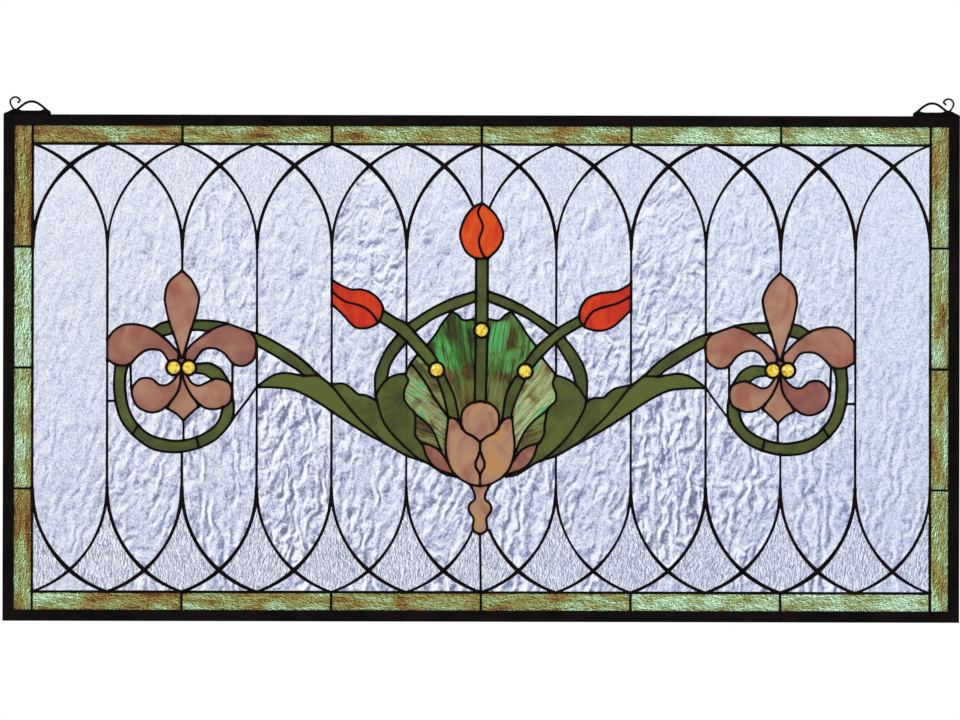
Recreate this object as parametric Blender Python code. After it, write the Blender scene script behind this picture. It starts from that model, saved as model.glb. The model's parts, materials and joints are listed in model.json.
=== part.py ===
"""A framed leaded glass panel that hangs from two wire loops.

The panel lies in the XZ plane with its front towards -Y. The origin is the point midway between
the two loops, at the height where a hook bears on them.
The pattern is drawn once as seams, the lines of solder between pieces of glass. Each seam is a
curve with a width. What the seams leave over is the glass.
"""

import math

import bmesh
import bpy
from mathutils import Matrix, Vector, geometry

# Driving sizes, in metres
FRAME_WIDTH = 1.016
FRAME_HEIGHT = 0.538
FRAME_FACE = 0.012
FRAME_WALL = 0.0017
SLOT_DEPTH = 0.006
BORDER_WIDTH = 0.019
COLUMNS_EACH_SIDE = 6
ARCH_RADIUS = 0.117
GLASS_THICKNESS = 0.003
BEAD_HEIGHT = 0.0011
GAP = 0.0003
PLAY = 0.0003

# Widths of the seams
THIN_SEAM = 0.0020
PICTURE_SEAM = 0.0022
RAIL_SEAM = 0.0026
DIVIDER_SEAM = 0.0034

# Jewels: round pressed glass with a domed front
JEWEL_RADIUS = 0.0067
JEWEL_DOME = 0.0018
JEWEL_SIDES = 8
JEWEL_SHOULDER_SHARE = 0.66
JEWEL_RISE_SHARE = 0.7

# Hangers: bent wire soldered to a low saddle on the frame
WIRE = 0.0022
HANGER_DEPTH = 0.0026
HANGER_LENGTH = 0.050
WIRE_TOLERANCE = 0.0004

# How closely straight pieces follow a curve
CURVE_TOLERANCE = 0.0012
ARCH_FACETS = 2
ARCH_TIP_FACETS = 1
# How far a seam runs on past its last point, as a share of its half width
END_SHARE = 0.3
TINY = 1e-7
FLAT_ANGLE = math.radians(0.4)

# Sizes that follow from those above
MITRE_GAP = GAP / math.sqrt(2)
OPEN_WIDTH = FRAME_WIDTH - 2 * FRAME_FACE
OPEN_HEIGHT = FRAME_HEIGHT - 2 * FRAME_FACE
FIELD_WIDTH = OPEN_WIDTH - 2 * BORDER_WIDTH
FIELD_HEIGHT = OPEN_HEIGHT - 2 * BORDER_WIDTH
PITCH = FIELD_WIDTH / 2 / COLUMNS_EACH_SIDE
FRAME_DEPTH = GLASS_THICKNESS + 2 * PLAY + 2 * FRAME_WALL
ARCH_HEIGHT = math.sqrt(2 * ARCH_RADIUS * PITCH - PITCH**2)

# The hanger is drawn on a grid of its own, from the frame's corner, HANGER_GRID long
HANGER_GRID = 46.9
HANGER_UNIT = HANGER_LENGTH / HANGER_GRID
CROWN_Y = 12.6
HANGER_ARCH = [(12.4, 4.2), (16, 6.9), (20.3, 10.2), (23.9, 12), (27.4, CROWN_Y), (31.9, 11.8),
               (37, 8.8), (42, 4.6), (46, 1.7)]
HANGER_CURL = [(10.6, 4), (7.6, 8.2), (6.2, 12.2), (8, 15.8), (11.6, 17), (15, 15.6), (16, 13.4),
               (13.8, 11.3)]
HANGER_SADDLE = [(0, 0), (HANGER_GRID, 0), (HANGER_GRID, 1.2), (44.5, 3), (41, 5), (37, 3.8),
                 (19, 3.8), (15, 5.4), (11, 5.6), (4, 2.7), (0, 0.9)]
LOOP_TO_FRAME = CROWN_Y * HANGER_UNIT - WIRE / 2 + GAP
CENTRE_Z = -LOOP_TO_FRAME - FRAME_HEIGHT / 2

# The picture is drawn on a grid of its own, whose column pitch is GRID_PITCH. Its middle is at
# GRID_X, GRID_Y, and y runs down.
GRID_PITCH = 74.8
GRID_X = 481.5
GRID_Y = 368.3
LOTUS_X = 480.5
UNIT = PITCH / GRID_PITCH

ALL_SPANS = (0, 999)

# The arches of the middle column line start at the middle flower, this share of their turn up
MIDDLE_ARCH_SHARE = 0.313
# The right fleur-de-lis sits a little lower and further in than a mirror image would
RIGHT_FLEUR_SHIFT = (-1.0, 1.5)

# Centres of the jewels
JEWEL_LEFT = (436.9, 369.7)
JEWEL_CENTRE = (481.8, 330)
JEWEL_RIGHT = (525.3, 371)
FLEUR_JEWEL_OUTER = (174.2, 368.1)
FLEUR_JEWEL_INNER = (189, 368.1)

# A grid point inside each sheet of the left fleur-de-lis. The arcs hold the clear bit under them.
FLEUR_SEEDS = {
    "upper_petals": ((182, 300), "mauve_glass"),
    "lower_petals": ((183, 400), "mauve_glass"),
    "ring": ((120.5, 395), "olive_glass"),
    "arc_outer": ((165, 328), "olive_glass"),
    "arc_inner": ((204, 326), "olive_glass"),
    "stem": ((213, 371), "olive_glass"),
    "ground": ((160, 426), "clear_glass"),
}


class Seam:
    """One line of solder: a chain of points with a width. Spans from over[0] up to over[1] only
    lie on the front of a sheet of glass that runs on beneath them. The others go right through."""

    def __init__(self, points, width=PICTURE_SEAM, over=None, smooth=True, closed=False):
        self.points = points
        self.width = width
        self.over = over or (0, 0)
        self.smooth = smooth
        self.closed = closed

    def mirrored(self, axis, shift=(0, 0)):
        points = [(2 * axis - x + shift[0], y + shift[1]) for x, y in self.points]
        return Seam(points, self.width, self.over, self.smooth, self.closed)


def through(*points, width=PICTURE_SEAM):
    return Seam(points, width)


def over(*points, width=THIN_SEAM):
    return Seam(points, width, ALL_SPANS)


def mixed(first, last, *points):
    """A seam whose spans from first up to last lie over a fused sheet."""
    return Seam(points, PICTURE_SEAM, (first, last))


def ring(x, y):
    """The round seam about a jewel."""
    radius = (JEWEL_RADIUS + PICTURE_SEAM / 2) / UNIT
    turns = [2 * math.pi * i / JEWEL_SIDES for i in range(JEWEL_SIDES)]
    points = [(x + radius * math.cos(t), y + radius * math.sin(t)) for t in turns]
    return Seam(points, smooth=False, closed=True)


def column(i):
    """Grid x of column line i, counted from the middle."""
    return GRID_X + i * GRID_PITCH


def grid_y(z):
    """Grid y of a height above the panel's middle."""
    return GRID_Y - z / UNIT


def fleur_seams():
    """The left fleur-de-lis in its ring, with the stem that leaves it."""
    left = column(-5)
    petals = [
        mixed(6, 7, (182, 271), (168.9, 283), (165, 298), (166.6, 309.7), (169.6, 322.8),
              (175.8, 340.4), (179.9, 353.5), (181.4, 359)),
        mixed(6, 7, (182, 271), (191.8, 280.7), (198.9, 295.5), (198.3, 305.9), (194.9, 319.7),
              (190.3, 333.5), (184.4, 353.5), (182.8, 359)),
        mixed(0, 1, (178.2, 360.5), (178.8, 353.5), (172.7, 346.5), (165, 338.8), (153.6, 330.4),
              (144.4, 326.6), (134.4, 324.8), (123, 325.8), (113.5, 332), (left, 340)),
        through((left, 338), (left, 362)),
        through((left, 360), (117, 365.4), (129, 365.3), (137, 357.6), (144.5, 351.7),
                (152.5, 349.9), (162, 351.8), (169.3, 362)),
        mixed(0, 1, (185.4, 360.5), (185.6, 353.5), (191.6, 345.2), (203.5, 335.6),
              (214.7, 328.6), (226.5, 324.6)),
        through((251.1, 332.6), (255.8, 340), (256.8, 348), (254, 359.4), (245.6, 365.8),
                (237.1, 365.8), (231.5, 362.2), (224.5, 353.8), (214.7, 348.9),
                (203.5, 350.3), (194.1, 362)),
        through((177.5, 375.6), (173.5, 381), (167, 385.4), (160, 385.4), (153, 379.8),
                (145.9, 378.4), (138.9, 380.5), (132.6, 388.9), (133.3, 398.7),
                (138.9, 407.9), (150.2, 412.8), (160, 411.4), (169.2, 405)),
        through((187, 375.6), (192.2, 383.3), (199.3, 386.1), (207.7, 382.6), (216.1, 379.1),
                (225.9, 381.2), (231.5, 386.1), (232.4, 395.9), (228.7, 404.3),
                (217.5, 409.3), (206.3, 408.6), (197.4, 402.8)),
        mixed(0, 3, (181.4, 373), (180.2, 386), (176.8, 394.5), (169.2, 405), (167.5, 409)),
        mixed(0, 3, (182, 373), (185.2, 383.3), (190.8, 394.5), (197.4, 402.8), (198.9, 407.1)),
        through((167.5, 409), (176.8, 414.2), (183.8, 421)),
        through((198.9, 407.1), (192.2, 412.8), (183.8, 421)),
    ]
    rings = [
        through((115.8, 364.5), (114.4, 383.3), (115.8, 401.5), (122.1, 421.2), (134.7, 436.6),
                (153, 449.2), (175.4, 452.8), (196.5, 449.2), (214.7, 440.8), (227.3, 428.2),
                (233, 418.4), (234.2, 406), (232.6, 396)),
        through((128.4, 365), (125.6, 376.3), (125.6, 390.3), (128.4, 407.1), (136.1, 422.6),
                (150.2, 435.2), (169.8, 440.8), (183.8, 440.8), (199.3, 436.6),
                (213.3, 428.2), (220.3, 418.4), (223.3, 407)),
        over((132.6, 435.2), (138.8, 425.4)),
        over((199.6, 448.5), (196.9, 437.6)),
        through((152.3, 329.8), (161, 324), (169.8, 321.8)),
        over((162.2, 336.6), (173.5, 333.6)),
        over((191, 330.6), (200, 330.6), (209, 332)),
        through((195.3, 320.9), (206.3, 320.9), (220.3, 322.3), (230, 324.8),
                (241.4, 328.8), (252, 332.8)),
    ]
    inside = [
        through((196, 364.6), (209.1, 363.7), (220.3, 369.3), (227.3, 379.1), (232.2, 387)),
        over((196.3, 373.3), (204.9, 374.9), (213, 380)),
        over((130.7, 365), (131.6, 389)),
        over((232.9, 365), (232.4, 389)),
        over((183.8, 421), (184, 440.8)),
        over((left, 401.5), (115.8, 401.5)),
    ]
    return petals + rings + inside + [ring(*FLEUR_JEWEL_OUTER), ring(*FLEUR_JEWEL_INNER)]


def leaf_seams():
    """The long stem and the long leaf at left, without the leaves next to the fan."""
    return [
        mixed(6, 10, (251.1, 332.4), (264.2, 336.5), (281.2, 345.7), (295.6, 354.8),
              (308.7, 365.3), (317.8, 374.5), (332.2, 386.2), (342.7, 399.3), (355.7, 415),
              (368.8, 428.1), (385.8, 443.7)),
        through((256.9, 345.5), (273.4, 354.8), (287.8, 364), (298.2, 370.5), (304, 376)),
        over((303.4, 375.9), (318.5, 375.6)),
        through((256.8, 387.5), (264.2, 381.6), (274.7, 375.1), (285.1, 373.1), (295.6, 374.5),
                (304, 376)),
        through((256.8, 387.5), (266.8, 387.5), (281.2, 388.2), (294.3, 390.1),
                (308.7, 396.7), (321.7, 404.5), (332.2, 411.7), (349.2, 422.8), (366.2, 433.3),
                (385.8, 443.7), (406.4, 455.3), (425.9, 462.1), (444.6, 473.8),
                (457.1, 476.4)),
        over((256.8, 387.5), (248.5, 399.3), (239.4, 411.1), (232.6, 420)),
    ]


def left_flower_seams():
    """The left tulip, its stem, the arcs of the big ring and the leaves next to the fan."""
    side = column(-2)
    tulip = [
        through((side, 280), (341.7, 285.7), (351.4, 289.5), (361.2, 289.5), (371, 292.8),
                (379.1, 299.8), (383, 307.5), (382.3, 314.5), (378.5, 322.3), (371, 326.9),
                (363.4, 328.5), (355.8, 327.5), (349.3, 322), (341.7, 313.4), (side, 304.5)),
        through((side, 278), (side, 306.5)),
        over((side, 291.5), (343.9, 300.9), (355.8, 304.2), (364.4, 307.4), (372, 313.4),
             (378.5, 322.3)),
    ]
    stem = [
        through((383.4, 310.4), (395.9, 318.2), (406.7, 323.6), (414.3, 331.8), (426.2, 344.8),
                (434.9, 355.6), (438, 362)),
        through((379.6, 321.4), (389.4, 327.5), (399.1, 334.5), (408.9, 343.7), (417.6, 353.5),
                (426.2, 363.2), (430, 367.5)),
        through((436.8, 377), (443.8, 396.1), (448.6, 417)),
        through((443.6, 372.6), (447.3, 380), (453.6, 393.4), (457.1, 406.8), (459.2, 420.5)),
        ring(*JEWEL_LEFT),
    ]
    arcs = [
        through((476, 291), (451.8, 298.6), (428.9, 310.1), (407.5, 324.2)),
        through((476, 300.9), (454.9, 309.3), (433.5, 318.5), (414.7, 332)),
        through((398.1, 334.2), (387.2, 348.1), (380.2, 362.2), (375.8, 374.1), (375.3, 388.2),
                (376.4, 400.5)),
        through((406.8, 342), (395.9, 355.6), (389.9, 366.5), (387, 380)),
    ]
    leaves = [
        through((376.2, 395), (381.9, 384.9), (388.4, 378.4), (397.6, 374.5), (406, 373.7)),
        through((418, 354), (411.1, 363.2), (406, 373.7), (408.6, 380.5), (405, 389),
                (404.5, 398.8), (409.5, 407), (415.2, 413.5), (415.8, 425), (415.8, 435.4),
                (423, 444.2)),
        over((376.3, 398), (382.1, 417.5), (389.3, 430), (400, 441.6), (412.5, 453.2),
             (422, 461)),
        through((331.5, 384.6), (342.7, 383.6), (350.5, 387.5), (358.4, 394.1), (366.2, 395.4),
                (376.3, 400.2)),
        over((411.1, 363.2), (424.1, 380), (435.7, 399.6), (448.4, 416.6)),
        over((415.2, 413.5), (426.8, 422.9), (434.8, 433.6), (441.4, 450.5)),
    ]
    return tulip + stem + arcs + leaves


def right_flower_seams():
    """The same pieces at right, which the maker cut a little differently."""
    side = column(2)
    tulip = [
        through((side, 283), (618.5, 290.1), (607.7, 291.7), (597.9, 293.3), (587.1, 298.2),
                (580.6, 307.9), (579.5, 317.7), (583.8, 325.8), (592.5, 329.6), (602.3, 330.2),
                (612, 326.9), (619.6, 321), (side, 309.5)),
        through((side, 281), (side, 311.5)),
        over((side, 295.5), (618.5, 302.5), (605.5, 306.3), (594.7, 310.1), (588.2, 316.6),
             (583.8, 325.8)),
    ]
    stem = [
        through((579.6, 315.4), (562.2, 325.3), (552.4, 332.9), (537.2, 345.9), (526.4, 360),
                (524.4, 364)),
        through((583, 324.6), (565.4, 335), (554.6, 343.7), (541.6, 356.7), (532, 368)),
        through((518.8, 374.2), (513.4, 380), (506.3, 395.2), (502.4, 420.5)),
        through((526.2, 378), (517, 397.9), (512.5, 411.3), (511.6, 417)),
        ring(*JEWEL_RIGHT),
    ]
    arcs = [
        through((487.8, 291), (506.9, 297.9), (525.3, 307), (552.9, 324.6), (558.6, 328)),
        through((487.8, 300.9), (505.4, 307.8), (528.4, 318.5), (550.6, 334.6)),
        through((563.6, 335.8), (574.1, 349.1), (582.7, 363.2), (587.1, 378.4), (587, 401.5)),
        through((556, 342.4), (566.5, 360), (573, 373), (576.3, 385)),
    ]
    leaves = [
        through((586.9, 400), (579.5, 388.2), (573.9, 382.6), (568.2, 378.9), (562, 376.4),
                (555.5, 375)),
        through((541.8, 356.6), (547.6, 364), (552.6, 370.2), (555.5, 375), (553, 383.2),
                (556.4, 393.6), (555.4, 401.2), (548.2, 408.8), (545, 424.6), (544.6, 433.2),
                (540, 442.4)),
        over((586.9, 399), (584.8, 408), (578.6, 420.2), (568.8, 435.4), (555.4, 449.6),
             (541, 461)),
        through((631.5, 384.6), (616, 387.8), (608.9, 392.5), (603.6, 397), (592.9, 398),
                (586.7, 401.5)),
        over((548.2, 408.8), (537.5, 417.5), (528.6, 426.4), (521.4, 438), (516.2, 452)),
    ]
    return tulip + stem + arcs + leaves


def inner_fan_seams():
    """The inner piece of the fan, at left of the middle stem."""
    return [
        through((427, 345.4), (436.5, 333.1), (441.9, 323.9), (451.6, 311.4)),
        through((451.6, 311.4), (458, 314.9), (464.1, 320.1), (476, 318.5)),
    ]


def lotus_seams():
    """Left half of the lotus under the fan, drawn about its own axis."""
    x = LOTUS_X
    return [
        through((x, 401), (470.5, 403.5), (463.5, 410), (461.5, 418), (462.5, 427),
                (466.5, 432.5), (474, 436.5), (x, 442)),
        through((448.8, 417), (453.8, 418), (458.3, 420.8), (462.6, 428.5)),
        Seam([(448.8, 416.5), (447.4, 430), (446, 445), (447, 457), (449.5, 464.5),
              (452.5, 470.5), (456.2, 475.2)], over=(3, 6)),
        mixed(2, 3, (456.2, 475.2), (461, 479), (471, 484.3), (x, 485.8)),
        through((421, 442.6), (431, 445.3), (439, 449.6), (444, 455.5), (447, 460)),
        through((423, 444), (426.5, 455), (432.5, 464.3), (440, 469.7), (450, 473.2),
                (456.2, 475.2)),
        Seam([(x, 450), (x - 4.8, 464.5), (x, 473.7), (x + 4.8, 464.5)], THIN_SEAM, ALL_SPANS,
             False, True),
        over((x, 442), (x, 450)),
        over((x, 473.7), (x, 485.8)),
        through((471, 485), (474.8, 493), (475.2, 499), (470.7, 503.3), (469, 508.5),
                (471, 513.5), (474.1, 518.6), (473.5, 529.5), (x, 534.5)),
    ]


def middle_seams():
    """The middle tulip and its stem."""
    return [
        through((481.8, 203), (474, 206.8), (465.6, 216.7), (460.3, 231.5), (461.8, 242.8),
                (467.1, 252.7), (476.6, 259)),
        through((481.8, 203), (488.6, 207.6), (496.2, 216), (502.6, 230), (502.4, 239.7),
                (497, 249.6), (488, 258.2)),
        over((481.8, 203), (477.9, 212.9), (482.7, 226), (479, 240), (480.9, 250.4),
             (485.3, 258)),
        Seam([(476.4, 258.6), (488, 258)], smooth=False),
        Seam([(476.2, 257.5), (475.9, 325.4)], smooth=False),
        Seam([(487.9, 257), (487.7, 325.4)], smooth=False),
        Seam([(475.9, 334.6), (475, 403)], smooth=False),
        Seam([(487.7, 334.6), (486, 403)], smooth=False),
        ring(*JEWEL_CENTRE),
    ]


def column_seams():
    """The lines between the columns, from one row of arches to the other, where they show."""
    top = grid_y(FIELD_HEIGHT / 2)
    bottom = grid_y(-FIELD_HEIGHT / 2)
    spring = grid_y(FIELD_HEIGHT / 2 - ARCH_HEIGHT)
    foot = grid_y(ARCH_HEIGHT - FIELD_HEIGHT / 2)
    stretches = [
        (-5, spring, foot),
        (-4, spring, 271),
        (-4, 452.5, foot),
        (-3, spring, 335),
        (-3, 346, foot),
        (-2, spring, 280),
        (-2, 305, 385),
        (-2, 411.5, foot),
        (-1, spring, 323.5),
        (-1, 455.3, foot),
    ]
    stretches += [(-i, y0, y1) for i, y0, y1 in stretches]
    stretches += [(-1, 342.5, 373.6), (1, 342.5, 375)]
    seams = [over((column(i), y0), (column(i), y1)) for i, y0, y1 in stretches]
    seams.append(over((column(0), top), (481.8, 203)))
    seams.append(over((LOTUS_X, 533), (column(0), bottom)))
    return seams


def arch_seams():
    """Two rows of crossing arches. Each arc springs upright from a column line and ends at the
    rail over the next one."""
    radius = ARCH_RADIUS / UNIT
    top = grid_y(FIELD_HEIGHT / 2)
    end = math.acos(1 - GRID_PITCH / radius)
    crossing = math.acos(1 - GRID_PITCH / 2 / radius)
    tip = (end - crossing) / ARCH_TIP_FACETS
    rise = radius * math.sin(end)
    seams = []
    half = COLUMNS_EACH_SIDE
    for i in range(-half, half + 1):
        for side in (-1, 1):
            if abs(i + side) > half:
                continue
            start = 0 if i else end * MIDDLE_ARCH_SHARE
            step = (crossing - start) / ARCH_FACETS
            turns = [start + step * n for n in range(ARCH_FACETS)]
            turns += [crossing + tip * n for n in range(ARCH_TIP_FACETS + 1)]
            arc = []
            for turn in turns:
                x = column(i) + side * radius * (1 - math.cos(turn))
                arc.append((x, top + rise - radius * math.sin(turn)))
            upside_down = [(x, 2 * GRID_Y - y) for x, y in arc]
            seams.append(Seam(arc, THIN_SEAM, ALL_SPANS, smooth=False))
            seams.append(Seam(upside_down, THIN_SEAM, ALL_SPANS, smooth=False))
    return seams


def border_seams():
    """The rails about the field and the short joints across the border."""
    half = COLUMNS_EACH_SIDE
    past = SLOT_DEPTH + BORDER_WIDTH
    top, bottom = grid_y(FIELD_HEIGHT / 2), grid_y(-FIELD_HEIGHT / 2)
    far_top, far_bottom = top - past / UNIT, bottom + past / UNIT
    left, right = column(-half), column(half)
    far_left, far_right = left - past / UNIT, right + past / UNIT
    seams = []
    for x in (left, right):
        seams.append(Seam([(x, far_top), (x, far_bottom)], DIVIDER_SEAM, smooth=False))
    for y in (top, bottom):
        seams.append(Seam([(left, y), (right, y)], RAIL_SEAM, smooth=False))
    for i in range(-half + 2, half, 2):
        seams.append(over((column(i), far_top), (column(i), top)))
        seams.append(over((column(i), bottom), (column(i), far_bottom)))
    for share in (-0.25, 0, 0.25):
        y = grid_y(share * OPEN_HEIGHT)
        seams.append(over((far_left, y), (left, y)))
        seams.append(over((right, y), (far_right, y)))
    return seams


def all_seams():
    seams = border_seams() + arch_seams() + column_seams() + middle_seams()
    for seam in fleur_seams():
        seams += [seam, seam.mirrored(GRID_X, RIGHT_FLEUR_SHIFT)]
    for seam in leaf_seams() + inner_fan_seams():
        seams += [seam, seam.mirrored(GRID_X)]
    for seam in lotus_seams():
        seams += [seam, seam.mirrored(LOTUS_X)]
    return seams + left_flower_seams() + right_flower_seams()


def place(x, y):
    """A grid point in the panel's plane, in metres."""
    return Vector(((x - GRID_X) * UNIT, CENTRE_Z + (GRID_Y - y) * UNIT))


def smooth_span(before, start, end, after, steps=8):
    """Points of a Catmull-Rom curve between start and end, without end."""
    found = []
    for i in range(steps):
        t = i / steps
        found.append(
            0.5 * (2 * start + (end - before) * t
                   + (2 * before - 5 * start + 4 * end - after) * t**2
                   + (3 * start - before - 3 * end + after) * t**3)
        )
    return found


def thinned(points, tolerance):
    """The points of an open chain that keep it within the tolerance."""
    if len(points) < 3:
        return points
    start, end = points[0], points[-1]
    along = (end - start).normalized()
    offs = []
    for point in points[1:-1]:
        away = point - start
        offs.append((away - along * away.dot(along)).length)
    worst = max(range(len(offs)), key=offs.__getitem__)
    if offs[worst] <= tolerance:
        return [start, end]
    split = worst + 1
    return thinned(points[: split + 1], tolerance)[:-1] + thinned(points[split:], tolerance)


def smooth_chain(knots):
    """A smooth curve through the knots."""
    chain = []
    for i in range(len(knots) - 1):
        chain += smooth_span(*neighbours(knots, i))
    return chain + [knots[-1]]


def neighbours(knots, i):
    """Four points that set the curve from knot i to the next one."""
    start, end = knots[i], knots[i + 1]
    before = knots[i - 1] if i else 2 * start - end
    after = knots[i + 2] if i + 2 < len(knots) else 2 * end - start
    return before, start, end, after


def path_of(seam, tolerance):
    """The seam's points, and for each stretch between them whether it is over or through."""
    knots = [place(x, y) for x, y in seam.points]
    if seam.closed:
        knots.append(knots[0])
    last_knot = len(knots) - 1
    cuts = sorted({0, last_knot, *(min(cut, last_knot) for cut in seam.over)})
    chain, kinds = [], []
    for first, last in zip(cuts, cuts[1:]):
        piece = knots[first : last + 1]
        if seam.smooth:
            piece = []
            for i in range(first, last):
                piece += smooth_span(*neighbours(knots, i))
            piece = thinned(piece + [knots[last]], tolerance)
        chain += piece[:-1]
        kinds += ["over" if seam.over[0] <= first < seam.over[1] else "through"] * (len(piece) - 1)
    return chain + [knots[-1]], kinds


def strip(points, width, closed):
    """A chain of points as a row of four-cornered cells of that width."""
    half = width / 2
    lefts, rights = [], []
    for i, point in enumerate(points):
        into = points[i] - points[i - 1] if i else None
        out = points[i + 1] - points[i] if i + 1 < len(points) else None
        if closed:
            into = into or points[-1] - points[-2]
            out = out or points[1] - points[0]
        first = (into or out).normalized()
        second = (out or into).normalized()
        mid = (first + second).normalized()
        across = Vector((-mid.y, mid.x)) * half / max(0.5, mid.dot(first))
        lefts.append(point + across)
        rights.append(point - across)
    if not closed:
        push_out(points, lefts, rights, half * END_SHARE)
    cells = []
    for i in range(len(points) - 1):
        cells.append([rights[i], rights[i + 1], lefts[i + 1], lefts[i]])
    return cells


def push_out(points, lefts, rights, length):
    """Lengthens both ends of a strip, so that it runs into what it meets."""
    for end, inner in ((0, 1), (-1, -2)):
        out = (points[end] - points[inner]).normalized() * length
        lefts[end] = lefts[end] + out
        rights[end] = rights[end] + out


def box_corners(width, height):
    """The corners of a box about the panel's middle."""
    x, z = width / 2, height / 2
    low, high = CENTRE_Z - z, CENTRE_Z + z
    return [Vector(c) for c in ((-x, low), (x, low), (x, high), (-x, high))]


class Plan:
    """Triangles in the panel's plane, each with the kinds of the shapes that cover it."""

    def __init__(self, shapes):
        """shapes is a list of (corners counterclockwise, kind)."""
        corners, faces, kinds = [], [], []
        for points, kind in shapes:
            faces.append(range(len(corners), len(corners) + len(points)))
            corners += points
            kinds.append(kind)
        found = geometry.delaunay_2d_cdt(corners, [], [list(f) for f in faces], 1, TINY, True)
        self.corners = found[0]
        self.triangles = found[2]
        self.kinds = [{kinds[f] for f in covering} for covering in found[5]]

    def chosen(self, wanted):
        return [t for t, kinds in zip(self.triangles, self.kinds) if wanted(kinds)]

    def bodies(self, wanted):
        """The chosen triangles in groups that meet at edges."""
        chosen = self.chosen(wanted)
        at_edge = {}
        for i, triangle in enumerate(chosen):
            for edge in edges_of(triangle):
                at_edge.setdefault(frozenset(edge), []).append(i)
        seen, groups = set(), []
        for start in range(len(chosen)):
            if start in seen:
                continue
            seen.add(start)
            queue, group = [start], []
            while queue:
                i = queue.pop()
                group.append(chosen[i])
                for edge in edges_of(chosen[i]):
                    for j in at_edge[frozenset(edge)]:
                        if j not in seen:
                            seen.add(j)
                            queue.append(j)
            groups.append(group)
        return groups

    def holds(self, triangle, point):
        a, b, c = (self.corners[i] for i in triangle)
        return geometry.intersect_point_tri_2d(point, a, b, c) != 0


def edges_of(face):
    return list(zip(face, face[1:] + face[:1]))


def seam_plan(extra, tolerance=CURVE_TOLERANCE):
    """The plan of the whole panel, with every seam widened by extra."""
    slot = 2 * (SLOT_DEPTH - GAP)
    shapes = [
        (box_corners(OPEN_WIDTH + slot, OPEN_HEIGHT + slot), "panel"),
        (box_corners(OPEN_WIDTH - 2 * GAP, OPEN_HEIGHT - 2 * GAP), "opening"),
    ]
    for seam in all_seams():
        points, kinds = path_of(seam, tolerance)
        shapes += zip(strip(points, seam.width + 2 * extra, seam.closed), kinds)
    return Plan(shapes)


def is_seam(kinds):
    return "opening" in kinds and bool(kinds & {"over", "through"})


def is_through(kinds):
    return "opening" in kinds and "through" in kinds


def is_glass(kinds):
    return "panel" in kinds and "through" not in kinds


def new_material(name, colour, roughness, metallic=0.0, alpha=1.0):
    material = bpy.data.materials.new(name)
    material.use_nodes = True
    shader = material.node_tree.nodes["Principled BSDF"]
    shader.inputs["Base Color"].default_value = (*colour, 1)
    shader.inputs["Roughness"].default_value = roughness
    shader.inputs["Metallic"].default_value = metallic
    shader.inputs["Alpha"].default_value = alpha
    return material


def all_materials():
    glass = {
        "clear_glass": (0.80, 0.83, 0.92),
        "border_glass": (0.33, 0.42, 0.20),
        "mauve_glass": (0.40, 0.17, 0.11),
        "orange_glass": (0.75, 0.07, 0.01),
        "olive_glass": (0.10, 0.13, 0.05),
        "fan_glass": (0.06, 0.27, 0.11),
        "peach_glass": (0.58, 0.30, 0.14),
        "jewel_glass": (0.90, 0.65, 0.05),
    }
    found = {}
    for name, colour in glass.items():
        alpha = 0.35 if name == "clear_glass" else 1.0
        found[name] = new_material(name, colour, 0.15, alpha=alpha)
    found["dark_metal"] = new_material("dark_metal", (0.012, 0.008, 0.010), 0.45, metallic=0.8)
    return found


def add_object(name, bm, material):
    """A closed body of the mesh in bm, with flat neighbours joined."""
    bmesh.ops.remove_doubles(bm, verts=bm.verts, dist=TINY)
    bmesh.ops.recalc_face_normals(bm, faces=bm.faces)
    bmesh.ops.dissolve_limit(
        bm, angle_limit=FLAT_ANGLE, use_dissolve_boundaries=False, verts=bm.verts, edges=bm.edges
    )
    bmesh.ops.triangulate(bm, faces=bm.faces)
    mesh = bpy.data.meshes.new(name)
    bm.to_mesh(mesh)
    bm.free()
    mesh.materials.append(material)
    thing = bpy.data.objects.new(name, mesh)
    bpy.context.scene.collection.objects.link(thing)
    return thing


def add_layer(bm, corners, triangles, front, back, has_front=True, open_back=()):
    """Triangles of a plan as a slab from front to back. It has no back face where a triangle is
    in open_back, because another layer goes on from there."""
    points = {}

    def vertex(i, y):
        if (i, y) not in points:
            points[i, y] = bm.verts.new((corners[i].x, y, corners[i].y))
        return points[i, y]

    inside = {edge for triangle in triangles for edge in edges_of(triangle)}
    left_open = {tuple(triangle) for triangle in open_back}
    for triangle in triangles:
        if has_front:
            bm.faces.new([vertex(i, front) for i in triangle])
        if tuple(triangle) not in left_open:
            bm.faces.new([vertex(i, back) for i in reversed(triangle)])
        for a, b in edges_of(triangle):
            if (b, a) not in inside:
                bm.faces.new([vertex(b, front), vertex(a, front), vertex(a, back), vertex(b, back)])


def add_seams(material):
    """The solder, one body: a bead on the front of every seam, which goes through to a bead at
    the back where it parts two sheets."""
    plan = seam_plan(0)
    face = GLASS_THICKNESS / 2 + GAP
    bead = face + BEAD_HEIGHT
    seams, deep = plan.chosen(is_seam), plan.chosen(is_through)
    bm = bmesh.new()
    add_layer(bm, plan.corners, seams, -bead, -face, open_back=deep)
    add_layer(bm, plan.corners, deep, -face, bead, has_front=False)
    return add_object("solder_seams", bm, material)


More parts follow.
